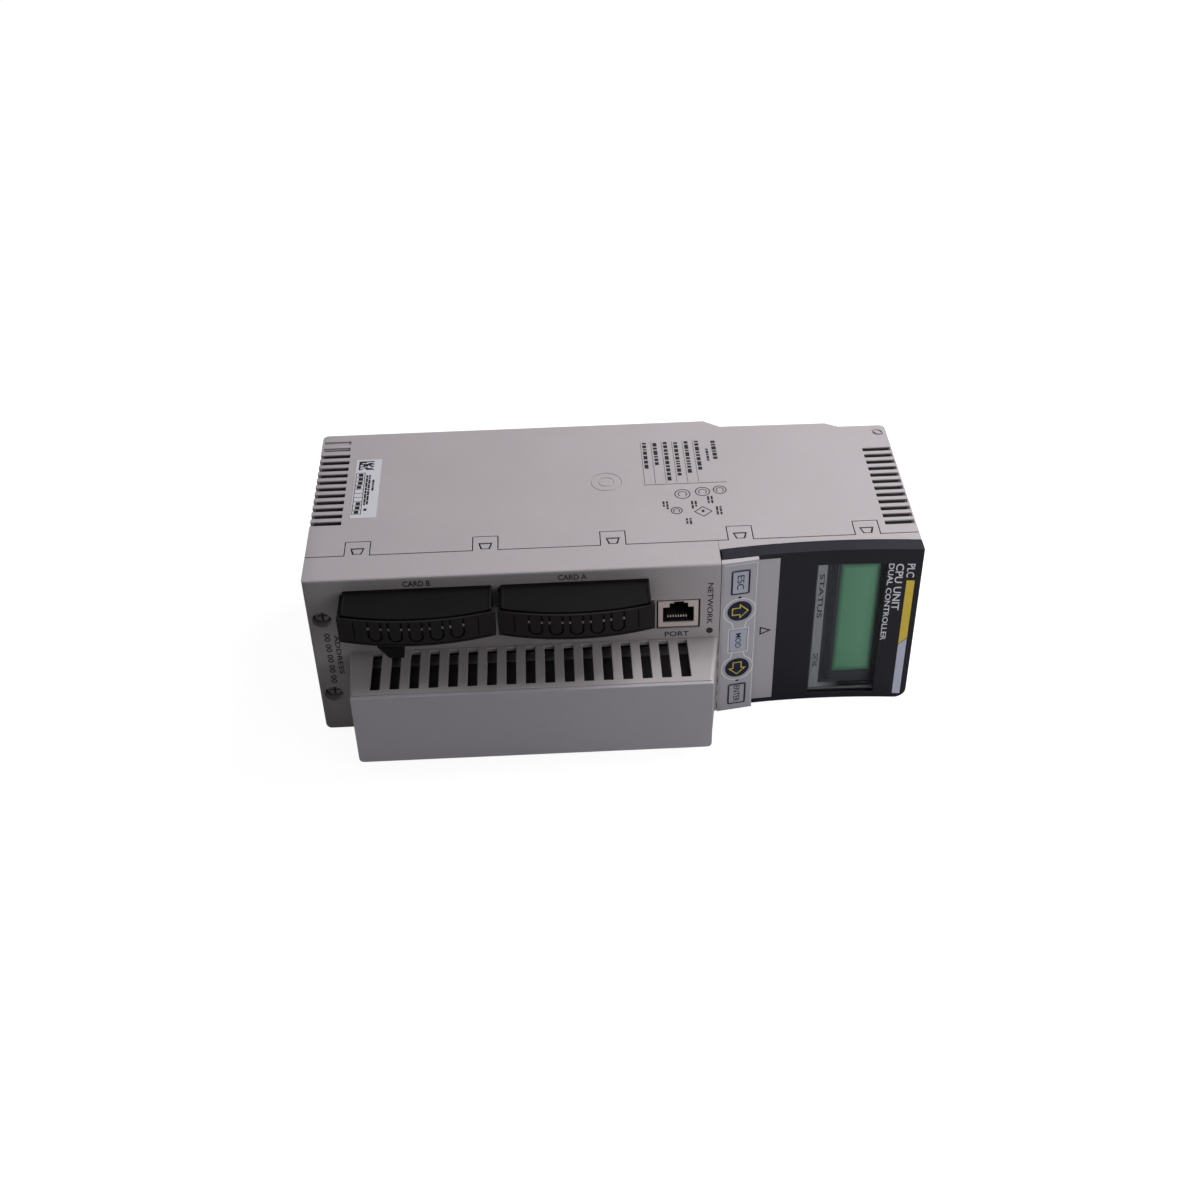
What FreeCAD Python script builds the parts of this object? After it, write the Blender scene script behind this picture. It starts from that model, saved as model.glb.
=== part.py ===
import FreeCAD, Part
import os
import math
import Sketcher

# Rack-mounted controller module, two slots wide, in its in-use attitude.
# +Z is up, -Y faces the operator and y = 0 is the rear seating plane on the rack.
# The origin is midway between the two captive mounting screws on that plane.
# Heights below are measured from the bottom edge, depths forward from the rear plane.

Vector = FreeCAD.Vector
doc = FreeCAD.newDocument("plc_module")
sheet = doc.addObject("Spreadsheet::Sheet", "Sizes")
nodes = []


# ---------------------------------------------------------------- sizes
class Size:
    """A length that also carries the sheet expression it comes from."""

    def __init__(self, value, text):
        self.value = float(value)
        self.text = text

    def __add__(self, other):
        other = as_size(other)
        return Size(self.value + other.value, f"({self.text} + {other.text})")

    def __sub__(self, other):
        other = as_size(other)
        return Size(self.value - other.value, f"({self.text} - {other.text})")

    def __mul__(self, other):
        other = as_size(other)
        return Size(self.value * other.value, f"({self.text} * {other.text})")

    def __truediv__(self, other):
        other = as_size(other)
        return Size(self.value / other.value, f"({self.text} / {other.text})")

    def __radd__(self, other):
        return as_size(other) + self

    def __rsub__(self, other):
        return as_size(other) - self

    def __rmul__(self, other):
        return as_size(other) * self

    def __neg__(self):
        return Size(-self.value, f"(0 - {self.text})")


def as_size(number):
    if isinstance(number, Size):
        return number
    if number < 0:
        return Size(number, f"(0 - {-number:.6g})")
    return Size(number, f"{number:.6g}")


def root(number):
    return Size(math.sqrt(number.value), f"sqrt({number.text})")


def size(name, value):
    """Put one driving dimension in the sheet and return it."""
    row = size.row
    size.row += 1
    sheet.set(f"A{row}", name)
    sheet.set(f"B{row}", f"{value:.6g}")
    sheet.setAlias(f"B{row}", name)
    return Size(value, f"Sizes.{name}")


size.row = 1

width = size("width", 81.0)
height = size("height", 250.0)
front = size("front_depth", 104.0)
seam = size("seam_depth", 88.1)
wall = size("wall", 2.2)
slot_pitch = size("slot_pitch", 40.64)
screw_line = size("screw_line", 5.8)
display_line = size("display_line", 167.6)
step_low = size("step_low", 170.0)
step_high = size("step_high", 229.5)
step_depth = size("step_depth", 9.0)

tab_pitch = size("tab_pitch", 52.0)
tab_first = size("tab_first", 21.0)
tab_width = size("tab_width", 10.7)
tab_depth = size("tab_depth", 79.0)
tab_gap = size("tab_gap", 0.4)
seam_gap = size("seam_gap", 0.5)
corner_radius = size("corner_radius", 5.0)

vent_height = size("vent_height", 13.0)
vent_pitch = size("vent_pitch", 4.93)
vent_high_pitch = size("vent_high_pitch", 4.85)
vent_width = size("vent_width", 2.6)
vent_low_count = 11
vent_high_count = 12

hood_left = size("hood_left", -2.4)
hood_right = size("hood_right", 33.2)
hood_front = size("hood_front", 132.5)
hood_low = size("hood_low", 15.0)
hood_high = size("hood_high", 167.0)
hood_slot_pitch = size("hood_slot_pitch", 7.84)
hood_slot_count = 17

card_left = size("card_left", -34.8)
card_right = size("card_right", -22.0)
card_length = size("card_length", 59.6)
card_end_depth = size("card_end_depth", 118.8)
card_mid_depth = size("card_mid_depth", 123.0)
card_b_low = size("card_b_low", 15.7)
card_a_low = size("card_a_low", 78.9)

jack_left = size("jack_left", -23.0)
jack_right = size("jack_right", -8.0)
jack_low = size("jack_low", 141.55)
jack_high = size("jack_high", 159.45)

lens_radius = size("lens_radius", 350.0)
lens_mid = size("lens_mid", 213.0)
lens_depth = size("lens_depth", 98.1)
lens_rail = size("lens_rail", 6.4)
lens_low = size("lens_low", 183.0)
lens_black = size("lens_black", 192.0)
lens_rail_low = size("lens_rail_low", 168.4)

window_left = size("window_left", -33.1)
window_right = size("window_right", 37.5)
tray_right = size("tray_right", 36.8)
window_low = size("window_low", 207.4)
window_high = size("window_high", 236.0)

keypad_low = size("keypad_low", 167.75)
keypad_high = size("keypad_high", 182.9)
keypad_low_depth = size("keypad_low_depth", 104.0)
keypad_high_depth = size("keypad_high_depth", 101.7)
key_line = size("key_line", 175.8)
round_key_radius = size("round_key_radius", 5.1)
up_key_x = size("up_key_x", -14.7)
right_key_x = size("right_key_x", 16.3)

deck_line = size("deck_line", 195.0)
switch_x = size("switch_x", -24.0)
battery_x = size("battery_x", 20.0)
doc.recompute()

half = width / 2


def lens_arc(level, back=0.0):
    """Depth of the concave lens surface at a height, set back by a distance."""
    radius = lens_radius + back
    offset = as_size(level) - lens_mid
    return lens_depth + lens_radius - root(radius * radius - offset * offset)


# ---------------------------------------------------------------- helpers
def keep(thing, label):
    """Name a finished sub-part so it is checked and exported."""
    thing.Label = label
    nodes.append(thing)
    return thing


def new_body(label):
    body = doc.addObject("PartDesign::Body", label)
    body.setExpression(".Placement.Base.z", (-screw_line).text)
    return keep(body, label)


def plane(body, role):
    return [item for item in body.Origin.OriginFeatures if item.Role == role][0]


def rect(x0, x1, y0, y1):
    return {"points": [(x0, y0), (x1, y0), (x1, y1), (x0, y1)], "arcs": {}}


def loop(points, arcs=None):
    """Closed outline; arcs maps an edge number to (radius, centre side)."""
    return {"points": points, "arcs": arcs or {}}


def disc(x, y, radius):
    return {"circle": (as_size(x), as_size(y), as_size(radius))}


def pin_point(sketch, item, end, x, y):
    """Fix one sketch point to expressions for its two coordinates."""
    for kind, goal in (("DistanceX", x), ("DistanceY", y)):
        number = sketch.addConstraint(Sketcher.Constraint(kind, -1, 1, item, end, goal.value))
        name = f"p{number}"
        sketch.renameConstraint(number, name)
        sketch.setExpression(f"Constraints.{name}", goal.text)


def draw_circle(sketch, circle):
    x, y, radius = circle
    ring = Part.Circle(Vector(x.value, y.value, 0), Vector(0, 0, 1), radius.value)
    item = sketch.addGeometry(ring, False)
    pin_point(sketch, item, 3, x, y)
    number = sketch.addConstraint(Sketcher.Constraint("Radius", item, radius.value))
    sketch.renameConstraint(number, f"r{number}")
    sketch.setExpression(f"Constraints.r{number}", radius.text)


def arc_between(start, finish, radius, side):
    """Arc from start to finish; side +1 puts the centre to the left of the chord."""
    middle = (start + finish) / 2
    chord = finish - start
    rise = math.sqrt(max(radius * radius - (chord.Length / 2) ** 2, 0.0))
    normal = Vector(-chord.y, chord.x, 0).normalize()
    centre = middle + normal * rise * side
    angles = [math.atan2(p.y - centre.y, p.x - centre.x) for p in (start, finish)]
    circle = Part.Circle(centre, Vector(0, 0, 1), radius)
    if side > 0:
        return Part.ArcOfCircle(circle, angles[0], angles[1]), (1, 2)
    return Part.ArcOfCircle(circle, angles[1], angles[0]), (2, 1)


def draw_loop(sketch, shape):
    points = [(as_size(x), as_size(y)) for x, y in shape["points"]]
    flat = [Vector(x.value, y.value, 0) for x, y in points]
    count = len(points)
    items = []
    for i in range(count):
        start, finish = flat[i], flat[(i + 1) % count]
        if i in shape["arcs"]:
            radius, side = shape["arcs"][i]
            radius = as_size(radius)
            curve, ends = arc_between(start, finish, radius.value, side)
            item = sketch.addGeometry(curve, False)
            number = sketch.addConstraint(Sketcher.Constraint("Radius", item, radius.value))
            sketch.renameConstraint(number, f"r{number}")
            sketch.setExpression(f"Constraints.r{number}", radius.text)
        else:
            item = sketch.addGeometry(Part.LineSegment(start, finish), False)
            ends = (1, 2)
        items.append((item, ends))
    for i in range(count):
        item, ends = items[i]
        following, next_ends = items[(i + 1) % count]
        sketch.addConstraint(Sketcher.Constraint("Coincident", item, ends[1], following, next_ends[0]))
        pin_point(sketch, item, ends[0], points[i][0], points[i][1])


def sketch_on(body, name, role, start, shapes):
    sketch = body.newObject("Sketcher::SketchObject", f"{body.Name}_{name}")
    sketch.AttachmentSupport = [(plane(body, role), "")]
    sketch.MapMode = "FlatFace"
    sketch.setExpression(".AttachmentOffset.Base.z", as_size(start).text)
    for shape in shapes:
        if "circle" in shape:
            draw_circle(sketch, shape["circle"])
        else:
            draw_loop(sketch, shape)
    return sketch


def repeat(body, feature, axis, pitch, count, reverse=False):
    """Repeat one feature along an origin axis."""
    pattern = body.newObject("PartDesign::LinearPattern", f"{feature.Name}_row")
    pattern.Originals = [feature]
    pattern.Direction = (plane(body, axis), [""])
    pattern.Reversed = reverse
    pattern.Occurrences = count
    pattern.setExpression("Length", (as_size(pitch) * (count - 1)).text)
    body.Tip = pattern
    doc.recompute()


def extrude(kind, body, name, role, start, length, shapes, row=None):
    """Pad or pocket between start and start + length along the plane's normal."""
    before = 0.0 if body.Tip is None else body.Shape.Volume
    sketch = sketch_on(body, name, role, start, shapes)
    feature = body.newObject(kind, f"{body.Name}_{name}_solid")
    feature.Profile = sketch
    feature.setExpression("Length", as_size(length).text)
    if kind == "PartDesign::Pocket":
        feature.Reversed = True
    body.Tip = feature
    doc.recompute()
    if row:
        repeat(body, feature, *row)
    change = body.Shape.Volume - before
    grows = kind == "PartDesign::Pad"
    if (change > 0) != grows or abs(change) < 1e-4:
        raise ValueError(f"{body.Name} {name}: volume changed by {change:.4f}")
    return feature


def pad(body, name, role, start, length, shapes, row=None):
    return extrude("PartDesign::Pad", body, name, role, start, length, shapes, row)


def pocket(body, name, role, start, length, shapes, row=None):
    return extrude("PartDesign::Pocket", body, name, role, start, length, shapes, row)


def soften(body, name, amount, wanted, kind="PartDesign::Fillet"):
    """Round or bevel the edges of the current tip that pass a test."""
    base = body.Tip
    edges = []
    for i, edge in enumerate(base.Shape.Edges):
        if wanted(edge.BoundBox):
            edges.append(f"Edge{i + 1}")
    feature = body.newObject(kind, f"{body.Name}_{name}")
    feature.Base = (base, edges)
    if kind == "PartDesign::Fillet":
        feature.Radius = amount
    else:
        feature.Size = amount
    body.Tip = feature
    doc.recompute()


def near(value, goal, slack=0.02):
    return abs(value - goal) < slack


def block(name, x0, x1, d0, d1, z0, z1):
    """Rectangular solid between two depths, heights and widths."""
    x0, x1, d0, d1, z0, z1 = [as_size(number) for number in (x0, x1, d0, d1, z0, z1)]
    box = doc.addObject("Part::Box", name)
    box.setExpression("Length", (x1 - x0).text)
    box.setExpression("Width", (d1 - d0).text)
    box.setExpression("Height", (z1 - z0).text)
    box.setExpression(".Placement.Base.x", x0.text)
    box.setExpression(".Placement.Base.y", (-d1).text)
    box.setExpression(".Placement.Base.z", (z0 - screw_line).text)
    return box


def rod(name, x, z, radius, d0, d1):
    """Round solid along the depth axis."""
    x, z, radius, d0, d1 = [as_size(number) for number in (x, z, radius, d0, d1)]
    bar = doc.addObject("Part::Cylinder", name)
    bar.Placement = FreeCAD.Placement(Vector(0, 0, 0), FreeCAD.Rotation(Vector(1, 0, 0), 90))
    bar.setExpression("Radius", radius.text)
    bar.setExpression("Height", (d1 - d0).text)
    bar.setExpression(".Placement.Base.x", x.text)
    bar.setExpression(".Placement.Base.y", (-d0).text)
    bar.setExpression(".Placement.Base.z", (z - screw_line).text)
    return bar


def fused(name, shapes):
    union = doc.addObject("Part::MultiFuse", name)
    union.Shapes = shapes
    return union


def minus(name, base, tools):
    tool = tools[0] if len(tools) == 1 else fused(f"{name}_tools", tools)
    result = doc.addObject("Part::Cut", name)
    result.Base = base
    result.Tool = tool
    return result


# ---------------------------------------------------------------- rear housing
def rear_profile(gap):
    """Side outline of the housing, stepped in at the top rear for the rack rail."""
    return [
        (as_size(-gap), as_size(gap)),
        (as_size(-gap), step_low),
        (as_size(-5.0 - gap), step_low + 7.0),
        (as_size(-5.7 - gap), step_high - 5.5),
        (as_size(-8.8 - gap), step_high),
        (-step_depth - gap, height - gap),
        (-seam - (1 if gap else 0), height - gap),
        (-seam - (1 if gap else 0), as_size(gap)),
    ]


def tab_spots(numbers):
    return [tab_first + tab_pitch * number for number in numbers]


def add_tabs(body, numbers):
    """Snap tabs that reach back over the housing, each with a hook window."""
    outlines = []
    windows = []
    for middle in tab_spots(numbers):
        low = middle - tab_width / 2 + tab_gap
        high = middle + tab_width / 2 - tab_gap
        outlines.append(rect(-seam - 1.6, -tab_depth - tab_gap, low, high))
        windows.append(loop([
            (as_size(-87.7), middle - 1.9),
            (as_size(-83.5), middle - 2.95),
            (as_size(-83.5), middle + 2.95),
            (as_size(-87.7), middle + 1.9),
        ]))
    for side, start in (("left", -half), ("right", half - 1.1)):
        pad(body, f"tabs_{side}", "YZ_Plane", start, 1.1, outlines)
        pocket(body, f"windows_{side}", "YZ_Plane", start - 0.2, 1.5, windows)


housing = new_body("rear_housing")
pad(housing, "shell", "YZ_Plane", -half, width, [loop(rear_profile(0.0))])
soften(housing, "edges", 2.5, lambda b: (
    b.XLength > 80 and b.YLength < 0.1 and b.ZLength < 0.1
    and (near(b.YMax, 0) and b.ZMin < 1 or near(b.YMax, -9) or near(b.YMax, -8.8))))
pocket(housing, "cavity", "YZ_Plane", -half + wall, width - 2 * wall, [loop(rear_profile(2.0))])
recess = [rect(-seam - 1, -tab_depth, m - tab_width / 2, m + tab_width / 2) for m in tab_spots(range(5))]
pocket(housing, "recess_left", "YZ_Plane", -half - 0.5, 1.7, recess)
pocket(housing, "recess_right", "YZ_Plane", half - 1.2, 1.7, recess)
nubs = []
for m in tab_spots(range(5)):
    nubs.append(loop([
        (as_size(-87.0), m - 1.25),
        (as_size(-84.1), m - 2.15),
        (as_size(-84.1), m + 2.15),
        (as_size(-87.0), m + 1.25),
    ]))
pad(housing, "nubs_left", "YZ_Plane", -half + 0.2, 1.2, nubs)
pad(housing, "nubs_right", "YZ_Plane", half - 1.4, 1.2, nubs)
for name, level, first, pitch, count in (
        ("low_vents", -1.0, 15.3, vent_pitch, vent_low_count),
        ("high_vents", height - wall - 0.5, 26.4, vent_high_pitch, vent_high_count)):
    slot = (as_size(-first) - vent_width, as_size(-first))
    corner = half - 1.0 if name == "high_vents" else half + 1.0
    spans = ((-corner, -half + 15.3), (-13.0, 13.0), (half - 15.3, corner))
    grille = [rect(x0, x1, *slot) for x0, x1 in spans]
    pocket(housing, name, "XY_Plane", level, wall + 1.5, grille, ("Y_Axis", pitch, count, True))
for name, z0, z1, first, pitch, count in (
        ("low", -1.0, vent_height, 15.3, vent_pitch, vent_low_count),
        ("high", height - 12.8, height - 0.7, 26.4, vent_high_pitch, vent_high_count)):
    slot = [rect(as_size(-first) - vent_width, as_size(-first), z0, z1)]
    for side, start in (("left", -half - 0.5), ("right", half - wall - 0.5)):
        pocket(housing, f"{name}_slots_{side}", "YZ_Plane", start, wall + 1.0, slot,
               ("Y_Axis", pitch, count, True))
blanks = [rect(as_size(-first) - vent_width, as_size(-first), 0.9, 12.6) for first in (4.9, 9.9)]
pocket(housing, "blank_left", "YZ_Plane", -half - 0.5, 1.2, blanks)
pocket(housing, "blank_right", "YZ_Plane", half - 0.7, 1.2, blanks)
pocket(housing, "rack_opening", "XZ_Plane", -1.0, 4.0, [rect(-2.2, 10.2, 69.8, 150.2)])
pad(housing, "board_posts", "YZ_Plane", 10.2, half - wall - 9.7, [
    disc(y, z, 2.6) for y in (-20.0, -76.0) for z in (22.0, 228.0)])
pad(housing, "screw_guides", "XZ_Plane", 1.0, seam - 1.1, [
    disc(-slot_pitch / 2, screw_line, 4.6), disc(slot_pitch / 2, screw_line, 4.6)])
pocket(housing, "screw_ways", "XZ_Plane", -1.0, seam + 1, [
    disc(-slot_pitch / 2, screw_line, 2.3), disc(slot_pitch / 2, screw_line, 2.3)])
pad(housing, "side_dimple", "YZ_Plane", -half - 0.6, 0.9, [disc(-14.2, 246.6, 2.2)])
emboss_rings = [disc(-44.2, 124.0, radius) for radius in (6.8, 6.2)]
emboss_eye = [disc(-44.2, 124.0, radius) for radius in (3.4, 2.9)]
pocket(housing, "emboss", "YZ_Plane", -half - 0.2, 0.33, emboss_rings)
pocket(housing, "emboss_small", "YZ_Plane", -half - 0.2, 0.33, emboss_eye)
crescent = loop([(-13.6, 244.3), (-16.8, 248.0)], {0: (2.6, 1), 1: (3.6, -1)})
pocket(housing, "dimple_shade", "YZ_Plane", -half - 1.0, 2.2, [crescent])

# ---------------------------------------------------------------- front bezel
bezel = new_body("front_bezel")
pad(bezel, "block", "YZ_Plane", -half, width, [rect(-front, -seam - seam_gap, 0, display_line - 0.1)])
soften(bezel, "low_corner", 2.5, lambda b: b.YLength > 15 and b.XMin > half.value - 0.1 and b.ZMax < 0.1)
soften(bezel, "edges", 1.2, lambda b: (
    b.XLength > 70 and near(b.YMax, -104, 0.1) and b.ZMax < 1
    or b.ZLength > 160 and near(b.YMax, -104, 0.1)))
pocket(bezel, "cavity", "XZ_Plane", seam - 1, front - wall - seam + 1, [
    rect(-half + wall, half - wall, 2.0, display_line - 2.1)])
pad(bezel, "screw_wells", "XZ_Plane", seam + 0.1, front - 1 - seam - 0.1, [
    disc(-slot_pitch / 2, screw_line, 5.1), disc(slot_pitch / 2, screw_line, 5.1)])
pocket(bezel, "screw_bores", "XZ_Plane", seam - 1, front - seam + 2, [
    disc(-slot_pitch / 2, screw_line, 3.9), disc(slot_pitch / 2, screw_line, 3.9)])
pocket(bezel, "openings", "XZ_Plane", front - 4.0, 5.0, [
    rect(card_left + 1.6, card_right - 1.6, card_b_low + 2.4, card_b_low + card_length - 2.4),
    rect(card_left + 1.6, card_right - 1.6, card_a_low + 2.4, card_a_low + card_length - 2.4),
    rect(jack_left, jack_right, jack_low, jack_high),
    rect(hood_left + 3.4, hood_right - 3.4, hood_low + 4.5, hood_high - 4.5),
    disc(-6.0, 163.5, 1.4),
])
add_tabs(bezel, range(3))

# ---------------------------------------------------------------- display frame
frame = new_body("display_frame")
top = height
rail_back = lens_rail + 0.2
outer = [
    (-seam - seam_gap, display_line),
    (-lens_arc(display_line, rail_back), display_line),
    (-lens_arc(top, rail_back), top),
    (-seam - seam_gap, top),
]
pad(frame, "sides", "YZ_Plane", -half, width, [loop(outer, {1: (lens_radius + rail_back, 1)})])
core_x = half - 2.6
core = [
    (-seam - 1.0, display_line + 15.7),
    (-lens_arc(display_line + 15.7, 2.3), display_line + 15.7),
    (-lens_arc(top, 2.3), top),
    (-seam - 1.0, top),
]
pad(frame, "core", "YZ_Plane", -core_x, 2 * core_x, [loop(core, {1: (lens_radius + 2.3, 1)})])
shelf = rect(-95.5, -seam - 1.0, display_line, display_line + 15.8)
pad(frame, "shelf", "YZ_Plane", -core_x, 2 * core_x, [shelf])
pocket(frame, "cavity", "XZ_Plane", seam - 1, 4.9, [rect(-36, 36, display_line + 2, height - 2.2)])
pocket(frame, "display_opening", "XZ_Plane", 90, 12, [
    rect(window_left - 0.5, tray_right + 0.4, window_low + 0.6, window_high + 0.4)])
pocket(frame, "deck_openings", "XZ_Plane", 90, 12, [
    disc(switch_x, deck_line, 6.1),
    disc(0.0, deck_line, 2.1),
    rect(battery_x - 14.6, battery_x + 14.6, deck_line - 8.1, deck_line + 8.1),
    rect(-33.0, 36.0, key_line - 4.6, key_line + 4.6),
])
pocket(frame, "reset_counterbore", "XZ_Plane", 91.0, 1.8, [disc(0.0, deck_line, 3.1)])
add_tabs(frame, range(3, 5))

# ---------------------------------------------------------------- vented hood
hood = new_body("vent_hood")
shell_front = hood_front - 2.0


def hood_edges(depth, gap=0.0):
    """Lower and upper height of the drafted hood at a depth."""
    share = (as_size(depth) - front) / (hood_front - front)
    return hood_low + share * 2.2 + gap, hood_high - share * 4.7 - gap


def hood_outline(back, ahead, gap=0.0):
    low_back, high_back = hood_edges(back, gap)
    low_ahead, high_ahead = hood_edges(ahead, gap)
    return loop([(-as_size(back), low_back), (-as_size(ahead), low_ahead),
                 (-as_size(ahead), high_ahead), (-as_size(back), high_back)])


pad(hood, "shell", "YZ_Plane", hood_left, hood_right - hood_left, [hood_outline(front, shell_front)])
soften(hood, "edges", 1.5, lambda b: b.YLength > 20)
soften(hood, "front_edge", 0.5, lambda b: b.YMax < 0.02 - shell_front.value)
pocket(hood, "cavity", "YZ_Plane", hood_left + 2.0, hood_right - hood_left - 4.0,
       [hood_outline(front - 1, shell_front + 1, 2.0)])
pocket(hood, "slots", "YZ_Plane", hood_left - 1.0, hood_right - hood_left + 2.0,
       [rect(-front - 23.7, -front - 1.0, 24.6, 28.6)], ("Z_Axis", hood_slot_pitch, hood_slot_count))
ends = [rect(0.8 + 6.6 * i, 5.4 + 6.6 * i, -front - 4.4, -front - 0.9) for i in range(5)]
pocket(hood, "end_slots", "XY_Plane", hood_high - 6.0, 8.0, ends)
pad(hood, "end_spacers", "XZ_Plane", front, 3.0, [
    rect(x, x + 3.2, hood_high - 1.6, hood_high + 0.5) for x in (6.0, 14.4, 22.6, 29.0)])

panel = new_body("hood_panel")
panel_low, panel_high = hood_edges(shell_front)
panel_outline = rect(hood_left, hood_right, panel_low, panel_high)
pad(panel, "plate", "XZ_Plane", shell_front + 0.35, 1.65, [panel_outline])
soften(panel, "left_corners", 0.7, lambda b: b.YLength > 1.5 and b.XMax < hood_left.value + 0.1)
soften(panel, "right_corners", 2.0, lambda b: b.YLength > 1.5 and b.XMin > hood_right.value - 0.1)
soften(panel, "rim", 0.35, lambda b: near(b.YMax, -132.5, 0.1) and b.YLength < 0.1)
inner_low, inner_high = hood_edges(shell_front, 2.15)
pad(panel, "plug", "XZ_Plane", shell_front - 3.0, 3.5, [
    rect(hood_left + 2.15, hood_right - 2.15, inner_low, inner_high)])
pocket(panel, "plug_core", "XZ_Plane", shell_front - 4.0, 4.0, [
    rect(hood_left + 4.0, hood_right - 4.0, inner_low + 2.0, inner_high - 2.0)])

sink = new_body("heat_sink")
pad(sink, "base", "XZ_Plane", 88.0, 4.0, [rect(4.0, 27.0, 24.0, 156.0)])
pad(sink, "fin", "XZ_Plane", 91.0, 34.0, [rect(4.0, 5.6, 24.0, 156.0)], ("X_Axis", 5.35, 5))
pad(sink, "clamp_bar", "XZ_Plane", 102.0, 5.0, [rect(3.2, 4.4, 24.0, 156.0)])

# ---------------------------------------------------------------- circuit boards
board = new_body("main_board")
pad(board, "plate", "YZ_Plane", 8.6, 1.6, [rect(-82.0, -14.0, 13.5, 236.0)])
pocket(board, "holes", "YZ_Plane", 8.0, 3.0, [
    disc(y, z, 1.6) for y in (-20.0, -76.0) for z in (22.0, 228.0)])
pocket(board, "battery_notch", "YZ_Plane", 8.0, 3.0, [
    rect(-83.0, -78.2, deck_line - 8.8, deck_line + 8.8)])
rack = minus("rack_connector", block("rack_shell", -2.0, 8.6, 0.4, 14.0, 70.0, 150.0), [
    block(f"rack_slot_{i}", x, x + 2.0, -1.0, 9.0, 73.0, 147.0) for i, x in enumerate((-0.2, 4.6))])
keep(rack, "rack_connector")
pins = [block(f"rack_pin_{i}_{k}", x + 0.65, x + 1.35, 3.0, 9.5, 75.0 + 5.1 * k, 76.6 + 5.1 * k)
        for i, x in enumerate((-0.2, 4.6)) for k in range(14)]
pins.append(block("rack_pin_bar", -0.1, 6.5, 14.0, 15.0, 74.0, 146.0))
for i, x in enumerate((-0.2, 4.6)):
    pins.append(block(f"rack_feed_{i}", x + 0.65, x + 1.35, 9.0, 14.5, 75.0, 145.0))
contacts = fused("rack_contacts", pins)
keep(contacts, "rack_contacts")
rack.Tool = fused("rack_voids", [rack.Tool] + [
    block(f"rack_way_{i}", x + 0.65, x + 1.35, 8.5, 14.5, 75.0, 145.0)
    for i, x in enumerate((-0.2, 4.6))])

ports = new_body("port_board")
pad(ports, "plate", "XZ_Plane", 84.0, 1.6, [rect(-37.5, 37.5, 12.5, 164.0)])
card_windows = []
for low in (card_b_low, card_a_low):
    card_windows.append(rect(card_left + 0.9, card_right - 0.9, low + 1.7, low + card_length - 1.7))
pocket(ports, "card_windows", "XZ_Plane", 83.0, 4.0, card_windows)
chip = keep(block("processor_chip", 6.0, 25.0, 85.6, 88.0, 70.0, 105.0), "processor_chip")
for i, z in enumerate((30.0, 46.0)):
    keep(rod(f"capacitor_{i + 1}", -12.0, z, 3.2, 85.6, 95.0), f"capacitor_{i + 1}")

display_board = new_body("display_board")
pad(display_board, "plate", "XZ_Plane", 88.4, 1.6, [rect(-35.5, 35.5, 170.2, 247.0)])
pocket(display_board, "cutouts", "XZ_Plane", 87.0, 4.0, [
    rect(battery_x - 14.8, battery_x + 14.8, deck_line - 8.3, deck_line + 8.3)])

# ---------------------------------------------------------------- network jack


def jack_voids(name, back):
    """The stepped plug cavity: main opening, key slot and latch slot."""
    return [block(f"{name}_cavity", -19.0, -10.8, back, front + 1, 144.2, 156.9),
            block(f"{name}_key", -21.1, -18.5, back, front + 1, 146.9, 154.5),
            block(f"{name}_latch", -21.9, -20.5, back, front + 1, 148.6, 152.8)]


def inset_box(name, inset, back, ahead):
    """Block inside the jack opening, set in from it on all sides."""
    return block(name, jack_left + inset, jack_right - inset, back, ahead,
                 jack_low + inset, jack_high - inset)


can = inset_box("jack_can", 0.75, 86.2, front - 0.2)
can_voids = [inset_box("jack_void", 1.2, 86.6, front - 1.0)] + jack_voids("mouth", front - 2)
keep(minus("jack_shield", can, can_voids), "jack_shield")
insert = inset_box("jack_block", 1.25, 86.7, front - 1.05)
insert_voids = [block("jack_channel", -11.8, -10.2, 88.0, 101.5, 145.6, 155.6)] + jack_voids("jack", 89.0)
keep(minus("jack_body", insert, insert_voids), "jack_body")
wires = []
for i in range(8):
    z = 146.25 + 1.08 * i
    wires.append(block(f"jack_wire_{i}", -12.3, -11.7, 90.5, 99.5, z, z + 0.5))
wires.append(block("jack_comb", -11.75, -10.4, 88.2, 91.5, 145.8, 155.2))
wires.append(block("jack_comb_step", -12.3, -11.7, 90.5, 91.5, 145.8, 155.2))
keep(fused("jack_contacts", wires), "jack_contacts")
keep(minus("status_light", rod("light_pipe", -6.0, 163.5, 1.3, 85.6, front + 0.3), [
    block("light_pipe_flat", -8.0, -4.0, 84.0, 86.0, 160.0, 162.6)]), "status_light")

# ---------------------------------------------------------------- memory card bays
half_card = card_length / 2


def bow(centre, reach, end_extra, middle_extra, back_depth):
    """Outline in depth and height with a front edge bowed past the card cover's own curve."""
    end_depth = card_end_depth + end_extra
    sag = card_mid_depth + middle_extra - end_depth
    radius = (reach * reach + sag * sag) / (2 * sag)
    points = [(-as_size(back_depth), centre - reach), (-end_depth, centre - reach),
              (-end_depth, centre + reach), (-as_size(back_depth), centre + reach)]
    return points, radius


def grooves(centre):
    """Five U-shaped finger grooves, open towards the case side."""
    shapes = []
    for step in range(-2, 3):
        middle = centre + 8.1 * step
        outer_half, inner_half, end = 2.95, 2.1, -26.3
        shapes.append(loop([
            (-33.95, middle - outer_half), (end, middle - outer_half),
            (end, middle + outer_half), (-33.95, middle + outer_half),
            (-33.95, middle + inner_half), (end, middle + inner_half),
            (end, middle - inner_half), (-33.95, middle - inner_half),
        ], {1: (outer_half + 0.06, 1), 5: (inner_half + 0.06, -1)}))
    return shapes


def card_box(name, low, side_inset, end_inset, back, ahead):
    """Block inside one card bay, set in from its sides and ends."""
    return block(name, card_left + side_inset, card_right - side_inset, back, ahead,
                 low + end_inset, low + card_length - end_inset)


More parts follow.
